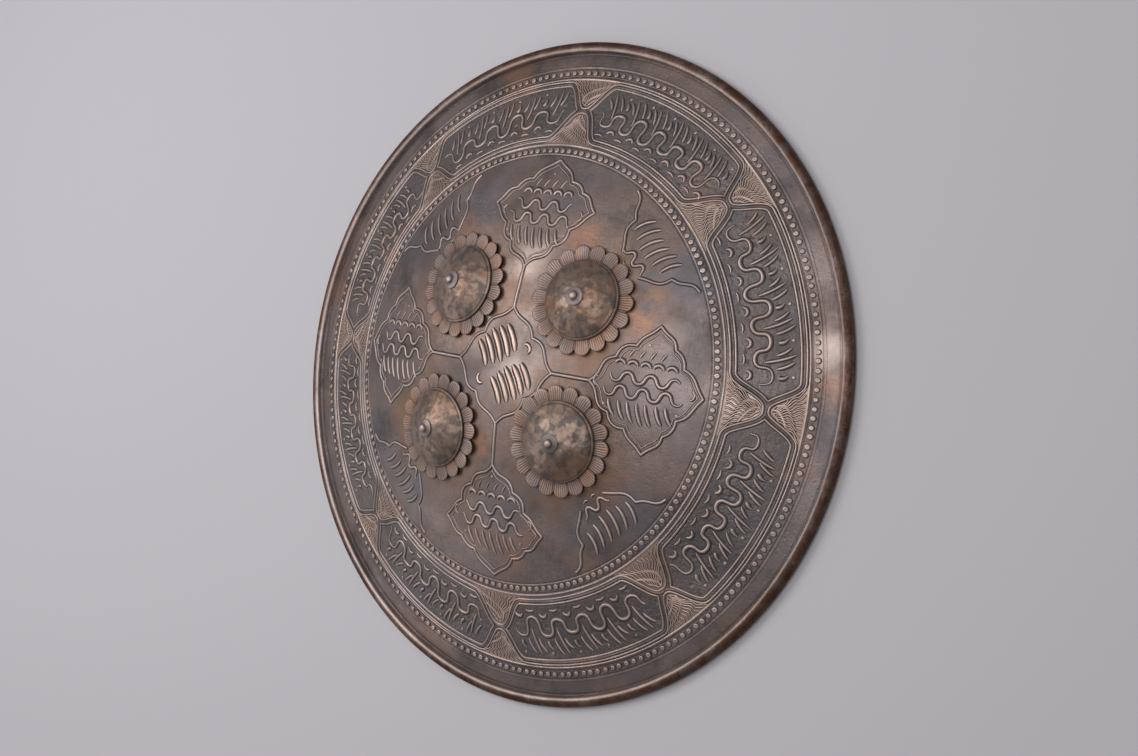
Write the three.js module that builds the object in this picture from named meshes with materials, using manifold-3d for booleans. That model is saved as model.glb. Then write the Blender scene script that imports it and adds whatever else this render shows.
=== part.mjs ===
// Round steel buckler with a raised dome, a flared border and a rolled rim.
// A band of eight long panels between two crossing straps runs round the border, and
// four lobed cartouches lie round a pointed centre cartouche. Four domed bosses sit on
// petalled washers, and one rivet with a nipple head holds each of them.
// Millimetres, +Z up. The shield lies face up on its rim, and the origin is on its axis
// at the foot of the rim.

import * as THREE from "three";
import { mergeVertices } from "three/addons/utils/BufferGeometryUtils.js";
import Module from "manifold-3d";

const manifoldKit = await Module();
manifoldKit.setup();

// Sheet and rim
const RIM_RADIUS = 230;
const ROLL_RADIUS = 4;
const ROLL_SIDES = 8;
const SHEET = 1.6;
const ROLL_CENTRE = RIM_RADIUS - ROLL_RADIUS;
const APEX_HEIGHT = 62.9;
const DOME_RADIUS = 389;
const FLARE_START = 165.6;
const FLARE_CURVE = 0.001325;
const BORDER_END = 220.5;

// Points round a ring of the sheet, and the distances from the axis of its plain rings
const COLUMNS = 48;
const CENTRE_COLUMNS = 24;
const CENTRE_RING = 36;
const DOME_RINGS = [72, 110];
const UNDERSIDE_RINGS = [215, 185, FLARE_START, 140, 110, 72];

// Two low fillets that carry the rows of pearls
const INNER_PEARLS = 149.3;
const OUTER_PEARLS = 207.5;
const FILLET_HALF_WIDTH = 2.2;
const FILLET_HEIGHT = 0.6;

// Band of panels
const PANELS = 8;
const STRAP_OUTER = 199.5;
const STRAP_INNER = 158.2;
const STRAP_CROSSING = 179.4;
const STRAP_WIDTH = 5;
const STRAP_CROWN = 3.4;
const STRAP_HEIGHT = 0.8;
const STRAP_SEAM = 0.15;
const OUTER_BEND_DEG = 6.2;
const INNER_BEND_DEG = 7.7;
// Angles from a crossing at which the edges of the straps have a point
const BAND_OFFSETS = [0, 2.2, 4, 5.8, 7.8, 15, 22.5, 30, 37.2, 39.2, 41, 42.8];

// Raised outlines of the field
const LINE_WIDTH = 2.2;
const LINE_HEIGHT = 0.8;
const LINK_WIDTH = 2.6;
const LINE_ROOT = 0.9;
const MITRE_LIMIT = 0.6;
const CENTRE_REACH = 39.5;
const LOBED_FOOT = 67.4;
const LINK_OVERLAP = 0.6;

// Bosses, with their hand-set places: name, distance from the axis, direction in degrees
const BOSSES = [
  ["ne", 72.3, 44.3],
  ["nw", 69.8, 135.2],
  ["sw", 72.4, 223.8],
  ["se", 67.2, 320.1],
];
const TOUCH_GAP = 0.3;
const PETALS = 18;
const PETAL_CENTRE = 31.8;
const PETAL_RADIUS = 5.6;
const PETAL_POINTS = [-1, -0.62, 0, 0.62];
const WASHER_THICKNESS = 1.2;
const BOSS_RADIUS = 27.2;
const BOSS_HEIGHT = 11.6;
const BOSS_EDGE = 0.8;
const BOSS_WALL = 1.3;
const BOSS_CURVE = 1.6;
const BOSS_STATIONS = [23, 16, 8.5];
const BOSS_SEGMENTS = 18;
const SHANK_RADIUS = 1.5;
const HOLE_RADIUS = 1.85;
const HOLE_SEGMENTS = 12;
const RIVET_SEGMENTS = 8;
const COLLAR_RADIUS = 6.4;
const COLLAR_DROP = 1;
const COLLAR_EDGE = 0.5;
const COLLAR_RISE = 0.4;
const NIPPLE_RADIUS = 3.2;
const NIPPLE_HEIGHT = 2.5;
const BUTTON_RADIUS = 4.2;
const BUTTON_THICKNESS = 1.6;
const BUTTON_GAP = 0.5;

const rad = THREE.MathUtils.degToRad;

// Finishes
function metal(color, roughness) {
  return new THREE.MeshStandardMaterial({ color, roughness, metalness: 0.9 });
}
const plateSteel = metal(0x6a5f5c, 0.48);
const washerSteel = metal(0x7d6a5c, 0.6);
const bossSteel = metal(0x5b4d42, 0.42);
const rivetSteel = metal(0x8d8078, 0.35);

// Height of the sheet's outer face, without mouldings, at a distance from the axis:
// a round dome that turns into a flared border
function faceHeight(r) {
  const inDome = Math.min(r, FLARE_START);
  const root = Math.sqrt(DOME_RADIUS ** 2 - inDome ** 2);
  const run = r - inDome;
  return APEX_HEIGHT - DOME_RADIUS + root - (inDome / root) * run + FLARE_CURVE * run ** 2;
}

function faceTilt(r) {
  return Math.asin(r / DOME_RADIUS);
}

// The sheet is a stack of rings, from the top of the dome over the face, round the roll
// and back under the sheet. A ring is a list of [angle, radius, height], and neighbours
// may have different numbers of points.
function evenRing(count, r, z) {
  return Array.from({ length: count }, (_, i) => [(2 * Math.PI * i) / count, r, z]);
}

function faceRing(count, r, lift = 0) {
  return evenRing(count, r, faceHeight(r) + lift);
}

function filletRings(row) {
  return [
    faceRing(COLUMNS, row - FILLET_HALF_WIDTH),
    faceRing(COLUMNS, row, FILLET_HEIGHT),
    faceRing(COLUMNS, row + FILLET_HALF_WIDTH),
  ];
}

// Eased step from 0 to 1 that starts and ends level
function ease(t) {
  return THREE.MathUtils.smootherstep(t, 0, 1);
}

// Middle line of the outer or the inner strap at an angle in degrees from a crossing,
// and how much wider than the strap a radial cut through it is
function strapAt(offsetDeg, level, bendDeg) {
  const pitch = 360 / PANELS;
  const near = Math.min(offsetDeg, pitch - offsetDeg);
  const at = (deg) => THREE.MathUtils.lerp(STRAP_CROSSING, level, ease(deg / bendDeg));
  const step = 0.2;
  const rise = (at(near + step) - at(Math.max(near - step, 0))) / rad(2 * step);
  return { r: at(near), stretch: Math.hypot(1, rise / level) };
}

// Eight rings follow the edges of the two straps. At each crossing the straps run
// together, and a narrow seam at crown height is all that is left of the panel.
function bandRings() {
  const pitch = 360 / PANELS;
  const rings = Array.from({ length: 8 }, () => []);
  for (let panel = 0; panel < PANELS; panel += 1) {
    for (const offset of BAND_OFFSETS) {
      const angle = rad(panel * pitch + offset);
      const inner = strapAt(offset, STRAP_INNER, INNER_BEND_DEG);
      const outer = strapAt(offset, STRAP_OUTER, OUTER_BEND_DEG);
      const middle = (inner.r + outer.r) / 2;
      const foot = STRAP_WIDTH / 2;
      const crown = STRAP_CROWN / 2;
      const innerFoot = Math.min(inner.r + foot * inner.stretch, middle - STRAP_SEAM);
      const outerFoot = Math.max(outer.r - foot * outer.stretch, middle + STRAP_SEAM);
      const merged = outerFoot - innerFoot < 3 * STRAP_SEAM;
      const ground = merged ? STRAP_HEIGHT : 0;
      const edges = [
        [inner.r - foot * inner.stretch, 0],
        [inner.r - crown * inner.stretch, STRAP_HEIGHT],
        [Math.min(inner.r + crown * inner.stretch, innerFoot - STRAP_SEAM), STRAP_HEIGHT],
        [innerFoot, ground],
        [outerFoot, ground],
        [Math.max(outer.r - crown * outer.stretch, outerFoot + STRAP_SEAM), STRAP_HEIGHT],
        [outer.r + crown * outer.stretch, STRAP_HEIGHT],
        [outer.r + foot * outer.stretch, 0],
      ];
      edges.forEach(([r, lift], k) => rings[k].push([angle, r, faceHeight(r) + lift]));
    }
  }
  return rings;
}

// The roll's section is an even polygon with a level flat under it that meets the ground
function rollRings() {
  const step = 360 / ROLL_SIDES;
  const corner = ROLL_RADIUS / Math.cos(rad(step / 2));
  return Array.from({ length: ROLL_SIDES }, (_, side) => {
    const angle = rad(180 - (side + 0.5) * step);
    const r = ROLL_CENTRE + corner * Math.cos(angle);
    return evenRing(COLUMNS, r, ROLL_RADIUS + corner * Math.sin(angle));
  });
}

function undersideRing(count, r) {
  const upright = SHEET / Math.cos(faceTilt(Math.min(r, FLARE_START)));
  return evenRing(count, r, faceHeight(r) - upright);
}

function distance([angleA, rA], [angleB, rB]) {
  const across = rA * Math.cos(angleA) - rB * Math.cos(angleB);
  const along = rA * Math.sin(angleA) - rB * Math.sin(angleB);
  return Math.hypot(across, along);
}

// Closes the gap between two rings with triangles. Each step moves on along the ring
// where that leaves the shorter edge across the gap.
function stitch(ringA, ringB, firstA, firstB, faces) {
  let a = 0;
  let b = 0;
  while (a < ringA.length || b < ringB.length) {
    const nextA = (a + 1) % ringA.length;
    const nextB = (b + 1) % ringB.length;
    const hereA = a % ringA.length;
    const hereB = b % ringB.length;
    const alongA = distance(ringA[nextA], ringB[hereB]);
    const alongB = distance(ringA[hereA], ringB[nextB]);
    const moveA = b >= ringB.length || (a < ringA.length && alongA <= alongB);
    faces.push(firstA + hereA, firstB + hereB, moveA ? firstA + nextA : firstB + nextB);
    if (moveA) a += 1;
    else b += 1;
  }
}

function sheetSolid() {
  const rings = [
    faceRing(CENTRE_COLUMNS, CENTRE_RING),
    ...DOME_RINGS.map((r) => faceRing(COLUMNS, r)),
    ...filletRings(INNER_PEARLS),
    ...bandRings(),
    ...filletRings(OUTER_PEARLS),
    faceRing(COLUMNS, BORDER_END),
    ...rollRings(),
    ...UNDERSIDE_RINGS.map((r) => undersideRing(COLUMNS, r)),
    undersideRing(CENTRE_COLUMNS, CENTRE_RING),
  ];
  const positions = [];
  const firsts = [];
  for (const ring of rings) {
    firsts.push(positions.length / 3);
    for (const [angle, r, z] of ring) {
      positions.push(r * Math.cos(angle), r * Math.sin(angle), z);
    }
  }
  const faces = [];
  for (let k = 0; k + 1 < rings.length; k += 1) {
    stitch(rings[k], rings[k + 1], firsts[k], firsts[k + 1], faces);
  }
  const top = positions.length / 3;
  positions.push(0, 0, APEX_HEIGHT, 0, 0, APEX_HEIGHT - SHEET);
  const last = firsts.at(-1);
  for (let i = 0; i < CENTRE_COLUMNS; i += 1) {
    const next = (i + 1) % CENTRE_COLUMNS;
    faces.push(top, i, next);
    faces.push(top + 1, last + next, last + i);
  }
  return toSolid(indexed(positions, faces));
}

function indexed(positions, faces) {
  const geometry = new THREE.BufferGeometry();
  geometry.setAttribute("position", new THREE.Float32BufferAttribute(positions, 3));
  geometry.setIndex(Array.from(faces));
  return geometry;
}

// A shape turned about the Z axis, from a profile of [radius, height] that runs upwards
// on its outside
function turned(profile, segments) {
  const points = profile.map(([r, z]) => new THREE.Vector2(r, z));
  const geometry = new THREE.LatheGeometry(points, segments);
  geometry.rotateX(Math.PI / 2);
  return geometry;
}

// Closed mesh as a solid that can be joined and cut
function toSolid(geometry) {
  const bare = new THREE.BufferGeometry();
  bare.setAttribute("position", geometry.getAttribute("position").clone());
  if (geometry.index) bare.setIndex(geometry.index.clone());
  const merged = mergeVertices(bare, 1e-4);
  return new manifoldKit.Manifold(
    new manifoldKit.Mesh({
      numProp: 3,
      vertProperties: new Float32Array(merged.getAttribute("position").array),
      triVerts: new Uint32Array(merged.index.array),
    }),
  );
}

function toGeometry(solid) {
  const mesh = solid.getMesh();
  const geometry = indexed(mesh.vertProperties, mesh.triVerts);
  geometry.computeVertexNormals();
  return geometry;
}

// A raised line with a sharp crest along a path of [x, y] points on the face. Its foot
// reaches a little into the sheet.
function ridge(path, closed, width) {
  const count = path.length;
  const section = [
    [-width / 2, -LINE_ROOT],
    [0, LINE_HEIGHT],
    [width / 2, -LINE_ROOT],
  ];
  const positions = [];
  path.forEach(([x, y], i) => {
    const before = path[closed ? (i + count - 1) % count : Math.max(i - 1, 0)];
    const after = path[closed ? (i + 1) % count : Math.min(i + 1, count - 1)];
    const backward = unit(x - before[0], y - before[1]);
    const forward = unit(after[0] - x, after[1] - y);
    const [tx, ty] = unit(backward[0] + forward[0], backward[1] + forward[1]);
    const mitre = Math.max(tx * forward[0] + ty * forward[1], backward[0] * tx + backward[1] * ty);
    const stretch = 1 / Math.max(mitre, MITRE_LIMIT);
    const z = faceHeight(Math.hypot(x, y));
    for (const [across, up] of section) {
      positions.push(x - ty * across * stretch, y + tx * across * stretch, z + up);
    }
  });
  const faces = [];
  for (let i = 0; i < (closed ? count : count - 1); i += 1) {
    const here = i * 3;
    const next = ((i + 1) % count) * 3;
    for (const [k, j] of [[0, 1], [1, 2], [2, 0]]) {
      faces.push(here + k, next + k, next + j, here + k, next + j, here + j);
    }
  }
  if (!closed) {
    const last = (count - 1) * 3;
    faces.push(0, 1, 2, last, last + 2, last + 1);
  }
  return toSolid(indexed(positions, faces));
}

function unit(x, y) {
  const length = Math.hypot(x, y);
  return length > 0 ? [x / length, y / length] : [0, 0];
}

// Outline from corner to corner. Each side is [end u, end v, bulge, sway, steps]: bulge
// bows it away from the cartouche, and sway bows its first half out and its second in.
function lobedSide(start, sides) {
  const path = [start];
  let [fromU, fromV] = start;
  for (const [toU, toV, bulge, sway, steps] of sides) {
    const [alongU, alongV] = unit(toU - fromU, toV - fromV);
    for (let step = 1; step <= steps; step += 1) {
      const t = step / steps;
      const out = bulge * 4 * t * (1 - t) + sway * Math.sin(2 * Math.PI * t);
      const u = THREE.MathUtils.lerp(fromU, toU, t) - alongV * out;
      const v = THREE.MathUtils.lerp(fromV, toV, t) + alongU * out;
      path.push([u, v]);
    }
    [fromU, fromV] = [toU, toV];
  }
  return path;
}

function mirrored(path) {
  return path.map(([u, v]) => [-u, v]).reverse();
}

// Places a path drawn with v away from the centre and u to its right, with v along a
// direction from +X
function turnedTo(path, directionDeg) {
  const c = Math.cos(rad(directionDeg));
  const s = Math.sin(rad(directionDeg));
  return path.map(([u, v]) => [v * c + u * s, v * s - u * c]);
}

const LOBED_START = [0, 142.6];
const LOBED_SIDES = [
  [16.6, 128.1, 1.7, -0.7, 3],
  [27.9, 120.9, 2.1, 0, 2],
  [41.7, 108.7, 1.6, 0.8, 3],
  [27, 95.6, 0.7, -0.6, 2],
  [18.1, 83.4, 3.4, 0, 2],
  [0, LOBED_FOOT, 1.3, 1.7, 3],
];
const CENTRE_SIDES = [
  [20, 20.7, 1.7, -1.4, 3],
  [CENTRE_REACH, 0, 2.4, 1.8, 3],
];
const HALF_START = [42.6, 137.2];
const HALF_SIDES = [
  [25, 127.5, -1.1, -1.1, 2],
  [10.6, 110.4, 2.9, 0.9, 3],
];

function lobedOutline() {
  const right = lobedSide(LOBED_START, LOBED_SIDES);
  return [...right, ...mirrored(right).slice(1, -1)];
}

// The centre cartouche has a point on each axis and a cusp between each two points
function centreOutline() {
  const quarter = lobedSide([0, CENTRE_REACH], CENTRE_SIDES).slice(0, -1);
  return [90, 0, -90, 180].flatMap((direction) => turnedTo(quarter, direction));
}

// Everything raised on the sheet
function linework() {
  const solids = [ridge(centreOutline(), true, LINE_WIDTH)];
  for (let direction = 0; direction < 360; direction += 90) {
    solids.push(ridge(turnedTo(lobedOutline(), direction), true, LINE_WIDTH));
    const link = [
      [0, CENTRE_REACH - LINK_OVERLAP],
      [0, LOBED_FOOT + LINK_OVERLAP],
    ];
    solids.push(ridge(turnedTo(link, direction), false, LINK_WIDTH));
    const side = lobedSide(HALF_START, HALF_SIDES);
    for (const path of [side, mirrored(side)]) {
      solids.push(ridge(turnedTo(path, direction + 45), false, LINE_WIDTH));
    }
  }
  return solids;
}

// Frame of a boss: the point under it on the face, with +Z along the face's normal
function bossFrame(distance, directionDeg) {
  const frame = new THREE.Group();
  const direction = rad(directionDeg);
  const x = distance * Math.cos(direction);
  const y = distance * Math.sin(direction);
  frame.position.set(x, y, faceHeight(distance));
  frame.rotation.order = "ZYX";
  frame.rotation.set(0, faceTilt(distance), direction);
  frame.updateMatrix();
  return frame;
}

function shieldBowl() {
  let solid = sheetSolid();
  for (const line of linework()) solid = solid.add(line);
  const drill = new THREE.CylinderGeometry(HOLE_RADIUS, HOLE_RADIUS, 12, HOLE_SEGMENTS);
  drill.rotateX(Math.PI / 2);
  for (const [, distance, direction] of BOSSES) {
    const bit = drill.clone().applyMatrix4(bossFrame(distance, direction).matrix);
    solid = solid.subtract(toSolid(bit));
  }
  return toGeometry(solid);
}

// Flat washer with round-ended petals. It touches the domed sheet round the rivet, and
// its petals stand off the sheet at their tips.
function petalWasher() {
  const edge = [];
  const half = Math.PI / PETALS;
  for (let petal = 0; petal < PETALS; petal += 1) {
    for (const share of PETAL_POINTS) {
      const off = half * share;
      const reach = Math.sqrt(PETAL_RADIUS ** 2 - (PETAL_CENTRE * Math.sin(off)) ** 2);
      const r = PETAL_CENTRE * Math.cos(off) + reach;
      const angle = 2 * half * petal + off;
      edge.push(new THREE.Vector2(r * Math.cos(angle), r * Math.sin(angle)));
    }
  }
  const shape = new THREE.Shape(edge);
  const hole = new THREE.Path();
  hole.absarc(0, 0, HOLE_RADIUS, 0, 2 * Math.PI, true);
  shape.holes.push(hole);
  const geometry = new THREE.ExtrudeGeometry(shape, {
    depth: WASHER_THICKNESS,
    bevelEnabled: false,
    curveSegments: HOLE_SEGMENTS / 2,
  });
  geometry.translate(0, 0, TOUCH_GAP);
  return geometry;
}

const BOSS_FOOT = WASHER_THICKNESS + 2 * TOUCH_GAP;

function bossRise(r) {
  return BOSS_EDGE + (BOSS_HEIGHT - BOSS_EDGE) * (1 - (r / BOSS_RADIUS) ** BOSS_CURVE);
}

// Hollow conoid dome, open below, with a hole in its top for the rivet
function bossDome() {
  const outer = [BOSS_RADIUS, ...BOSS_STATIONS, HOLE_RADIUS].map((r) => [r, bossRise(r)]);
  const inner = outer.slice(2).reverse().map(([r, z]) => [r, z - BOSS_WALL]);
  const foot = [[BOSS_RADIUS - BOSS_WALL, 0], [BOSS_RADIUS, 0]];
  const profile = [...foot, ...outer, ...inner, foot[0]];
  return turned(profile.map(([r, z]) => [r, z + BOSS_FOOT]), BOSS_SEGMENTS);
}

// Rivet from the clenched button inside the shield to the nipple on top of the boss
function bossRivet() {
  const buttonTop = -SHEET - BUTTON_GAP;
  const buttonFoot = buttonTop - BUTTON_THICKNESS;
  const seat = BOSS_FOOT + BOSS_HEIGHT + TOUCH_GAP;
  const collarFoot = seat - COLLAR_DROP;
  const collarTop = seat + COLLAR_RISE;
  const tip = collarTop + NIPPLE_HEIGHT;
  const profile = [
    [0, buttonFoot],
    [BUTTON_RADIUS * 0.6, buttonFoot],
    [BUTTON_RADIUS, buttonTop - BUTTON_THICKNESS / 2],
    [BUTTON_RADIUS, buttonTop],
    [SHANK_RADIUS, buttonTop],
    [SHANK_RADIUS, seat],
    [COLLAR_RADIUS, collarFoot],
    [COLLAR_RADIUS, collarFoot + COLLAR_EDGE],
    [NIPPLE_RADIUS, collarTop],
    [NIPPLE_RADIUS, collarTop + NIPPLE_HEIGHT * 0.4],
    [NIPPLE_RADIUS * 0.65, collarTop + NIPPLE_HEIGHT * 0.85],
    [0, tip],
  ];
  return turned(profile, RIVET_SEGMENTS);
}

function named(name, geometry, material) {
  const mesh = new THREE.Mesh(geometry, material);
  mesh.name = name;
  return mesh;
}

const shield = new THREE.Group();
shield.add(named("shield_bowl", shieldBowl(), plateSteel));
for (const [quarter, distance, direction] of BOSSES) {
  const frame = bossFrame(distance, direction);
  frame.add(named(`petal_washer_${quarter}`, petalWasher(), washerSteel));
  frame.add(named(`boss_${quarter}`, bossDome(), bossSteel));
  frame.add(named(`rivet_${quarter}`, bossRivet(), rivetSteel));
  shield.add(frame);
}

export default shield;
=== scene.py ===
# %% [markdown]
# A round steel buckler, lying face up on a pale floor.
#
# The shield is one domed sheet with a rolled rim. Four bosses on petalled washers are
# riveted to it, and its face is covered with low relief: raised lines, rows of pearls,
# hatching and rows of plain strokes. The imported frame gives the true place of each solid
# piece. This lesson dresses each one with a finer mesh and with aged steel.

# %% Load the frame
import math
import random

import bpy
import numpy as np
from mathutils import Matrix, Vector


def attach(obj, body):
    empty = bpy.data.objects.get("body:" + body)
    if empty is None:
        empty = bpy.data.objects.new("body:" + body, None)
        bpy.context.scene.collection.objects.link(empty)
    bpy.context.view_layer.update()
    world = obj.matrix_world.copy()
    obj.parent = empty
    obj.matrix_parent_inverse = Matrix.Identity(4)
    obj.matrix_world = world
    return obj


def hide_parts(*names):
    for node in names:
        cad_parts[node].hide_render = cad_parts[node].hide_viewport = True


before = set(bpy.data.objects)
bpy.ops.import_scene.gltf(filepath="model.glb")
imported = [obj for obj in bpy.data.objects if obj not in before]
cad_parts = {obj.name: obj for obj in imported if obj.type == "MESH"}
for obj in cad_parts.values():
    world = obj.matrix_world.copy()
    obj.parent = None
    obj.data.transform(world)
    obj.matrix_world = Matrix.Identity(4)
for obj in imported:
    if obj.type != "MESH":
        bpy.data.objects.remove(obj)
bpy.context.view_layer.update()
MM = 0.001
print("nodes in the frame:", len(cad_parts))

# %% [markdown]
# The camera looks down on the shield from beyond its +X edge. It is rolled almost a
# quarter turn, because the shield lies on the floor here and its +Y edge is still at the
# top of the picture. A target, two angles, a distance and the roll say this in plain
# numbers, and a matrix made from them has no surprises.

# %% Camera
TARGET = Vector((31.5, -1.9, 30.0)) * MM
CAMERA_DISTANCE = 1208.4 * MM
CAMERA_AZIMUTH = math.radians(2.65)
CAMERA_ELEVATION = math.radians(53.69)
CAMERA_ROLL = math.radians(82.92)
LENS_MM = 56.94


def camera_axes():
    """The camera's right, up and backward directions."""
    level = math.cos(CAMERA_ELEVATION)
    east = level * math.cos(CAMERA_AZIMUTH)
    north = level * math.sin(CAMERA_AZIMUTH)
    back = Vector((east, north, math.sin(CAMERA_ELEVATION)))
    flat_right = Vector((0, 0, 1)).cross(back).normalized()
    flat_up = back.cross(flat_right)
    right = flat_right * math.cos(CAMERA_ROLL) - flat_up * math.sin(CAMERA_ROLL)
    return right, back.cross(right), back


def make_camera():
    right, up, back = camera_axes()
    data = bpy.data.cameras.new("camera")
    data.lens = LENS_MM
    made = bpy.data.objects.new("camera", data)
    bpy.context.scene.collection.objects.link(made)
    turn = Matrix((right, up, back)).transposed().to_4x4()
    made.matrix_world = Matrix.Translation(TARGET + back * CAMERA_DISTANCE) @ turn
    bpy.context.scene.camera = made
    return made


camera = make_camera()
print("camera at", [round(v, 3) for v in camera.matrix_world.translation])

# %% [markdown]
# The sheet is a round dome that turns into a slightly flared border. Its height depends
# on the distance from the axis alone, so one small formula places everything on it. All
# the relief is drawn flat, in plan and in millimetres, and then laid on that face: that
# is far easier than drawing strokes on a curved surface.

# %% The face of the sheet
RIM_RADIUS = 230.0
ROLL_RADIUS = 4.0
ROLL_CENTRE = RIM_RADIUS - ROLL_RADIUS
SHEET = 1.6
APEX_HEIGHT = 62.9
DOME_RADIUS = 389.0
FLARE_START = 165.6
FLARE_CURVE = 0.001325


def face_height(r):
    """Height of the plain face at a distance from the axis, in millimetres."""
    in_dome = np.minimum(r, FLARE_START)
    root = np.sqrt(DOME_RADIUS**2 - in_dome**2)
    run = r - in_dome
    return APEX_HEIGHT - DOME_RADIUS + root - in_dome / root * run + FLARE_CURVE * run**2


print("face where the flare starts:", round(float(face_height(FLARE_START)), 1), "mm")

# %% [markdown]
# Geometry Nodes and materials are both node trees, built from Python here. A few helpers
# keep that readable. One makes a tree with named inputs and outputs, one adds a node and
# feeds its sockets, and the rest are the arithmetic and the noise that most trees need.

# %% Helpers for node trees
SOCKETS = {
    "geometry": "NodeSocketGeometry",
    "float": "NodeSocketFloat",
    "int": "NodeSocketInt",
    "vector": "NodeSocketVector",
    "object": "NodeSocketObject",
    "material": "NodeSocketMaterial",
}


def new_tree(name, kind, inputs, outputs):
    """A node tree and its two ends. Each socket is given by its type or by its default."""
    tree = bpy.data.node_groups.new(name, kind)
    for sockets, side in ((inputs, "INPUT"), (outputs, "OUTPUT")):
        for label, given in sockets.items():
            is_type = isinstance(given, str)
            key = given if is_type else type(given).__name__
            socket = tree.interface.new_socket(label, in_out=side, socket_type=SOCKETS[key])
            if not is_type:
                socket.default_value = given
    return tree, tree.nodes.new("NodeGroupInput").outputs, tree.nodes.new("NodeGroupOutput")


def feed(tree, socket, value):
    """Gives a socket a plain value or another node's output."""
    if isinstance(value, bpy.types.NodeSocket):
        tree.links.new(value, socket)
    else:
        socket.default_value = value


def add(tree, kind, feeds=None, **settings):
    """Adds a node. feeds says what each of its inputs gets."""
    new = tree.nodes.new(kind)
    for key, value in settings.items():
        setattr(new, key, value)
    for key, value in (feeds or {}).items():
        feed(tree, new.inputs[key], value)
    return new


def calc(tree, operation, *values):
    feeds = dict(enumerate(values))
    return add(tree, "ShaderNodeMath", feeds, operation=operation).outputs[0]


def plus(tree, value, other):
    return calc(tree, "ADD", value, other)


def minus(tree, value, other):
    return calc(tree, "SUBTRACT", value, other)


def times(tree, value, factor):
    return calc(tree, "MULTIPLY", value, factor)


def over(tree, value, divisor):
    return calc(tree, "DIVIDE", value, divisor)


def remap(tree, value, low, high, to_low=0.0, to_high=1.0):
    """A smooth step of a value from one range to another."""
    feeds = {"Value": value, "From Min": low, "From Max": high}
    feeds |= {"To Min": to_low, "To Max": to_high}
    kind = "ShaderNodeMapRange"
    return add(tree, kind, feeds, interpolation_type="SMOOTHSTEP").outputs[0]


def cloud(tree, vector, scale, detail, roughness=0.5):
    """Soft noise from 0 to 1, about 0.5 on the whole."""
    feeds = {"Vector": vector, "Scale": scale, "Detail": detail, "Roughness": roughness}
    return add(tree, "ShaderNodeTexNoise", feeds).outputs[0]


def split(tree, vector):
    return add(tree, "ShaderNodeSeparateXYZ", {"Vector": vector}).outputs


def joined(tree, x, y, z=0.0):
    return add(tree, "ShaderNodeCombineXYZ", {"X": x, "Y": y, "Z": z}).outputs[0]


print("kinds of sockets:", ", ".join(SOCKETS))

# %% [markdown]
# A tree grows a mesh when it sits on an object as a modifier. The result is copied into a
# plain mesh and the modifier goes. The modifier's inputs are set by each socket's
# identifier, because its name needn't be unique. What a tree takes in is a small mesh with
# numbers of its own at each point, such as a width. Mostly it is a wire: points in order,
# joined by edges.

# %% Helpers for growing meshes
def store(mesh, name, values):
    """Keeps one number for each point of a mesh."""
    kept = mesh.attributes.new(name, "FLOAT", "POINT")
    kept.data.foreach_set("value", np.asarray(values, np.float32))


def small_mesh(name, points, edges=(), faces=(), **numbers):
    mesh = bpy.data.meshes.new(name)
    mesh.from_pydata(points, edges, faces)
    for key, values in numbers.items():
        store(mesh, key, values)
    return mesh


def stand(name, mesh):
    made = bpy.data.objects.new(name, mesh)
    bpy.context.scene.collection.objects.link(made)
    return made


def grow(name, tree, mesh, **values):
    """The object whose plain mesh is what the tree makes of a small one."""
    made = stand(name, mesh)
    modifier = made.modifiers.new("grow", "NODES")
    modifier.node_group = tree
    for item in tree.interface.items_tree:
        key = item.name.replace(" ", "_").lower()
        if item.in_out == "INPUT" and key in values:
            modifier[item.identifier] = values[key]
    depsgraph = bpy.context.evaluated_depsgraph_get()
    grown = bpy.data.meshes.new_from_object(
        made.evaluated_get(depsgraph), preserve_all_data_layers=True, depsgraph=depsgraph
    )
    made.modifiers.clear()
    made.data = grown
    grown.name = name
    print(f"{name}: {len(grown.vertices)} points, {len(grown.polygons)} faces")
    return made


# %% [markdown]
# Laying on the face is a node group of its own, because every tree below needs it. It
# takes a position whose Z is a height above the plain face, and gives the position on the
# shield. It adds the slow unevenness of hammered sheet too, the same for the plate and
# for all that lies on it, so that nothing floats or sinks. That fades out towards the
# rim, where the roll is true.

# %% Group: lay on the face
HAMMER_DEPTH = 0.9 * MM
HAMMER_SIZE = 52.0 * MM
HAMMER_END = 214.0 * MM
HAMMER_FADE = 0.82


def make_lay_on_face():
    ends = {"Position": "vector"}
    tree, given, out = new_tree("lay_on_face", "GeometryNodeTree", ends, ends)
    x, y, above = split(tree, given["Position"])
    plan = joined(tree, x, y)
    r = add(tree, "ShaderNodeVectorMath", {0: plan}, operation="LENGTH").outputs["Value"]
    in_dome = calc(tree, "MINIMUM", r, FLARE_START * MM)
    squared = calc(tree, "POWER", in_dome, 2.0)
    root = calc(tree, "SQRT", minus(tree, (DOME_RADIUS * MM) ** 2, squared))
    run = minus(tree, r, in_dome)
    fall = times(tree, over(tree, in_dome, root), run)
    flare = times(tree, calc(tree, "POWER", run, 2.0), FLARE_CURVE / MM)
    crown = plus(tree, root, (APEX_HEIGHT - DOME_RADIUS) * MM)
    plain = plus(tree, minus(tree, crown, fall), flare)
    beaten = minus(tree, cloud(tree, plan, 1 / HAMMER_SIZE, 2.0, 0.35), 0.5)
    fade = remap(tree, r, HAMMER_FADE * HAMMER_END, HAMMER_END, HAMMER_DEPTH, 0.0)
    height = plus(tree, plus(tree, plain, times(tree, beaten, fade)), above)
    tree.links.new(joined(tree, x, y, height), out.inputs["Position"])
    return tree


lay_on_face = make_lay_on_face()
print("nodes that lay a point on the face:", len(lay_on_face.nodes))

# %% [markdown]
# The trees below have the same start and the same end, and share a few short steps: they
# read a point's place or one of its numbers, weld points that meet, and put a small mesh
# on each of many points.

# %% Steps that the trees share
WELD = 0.002 * MM


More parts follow.
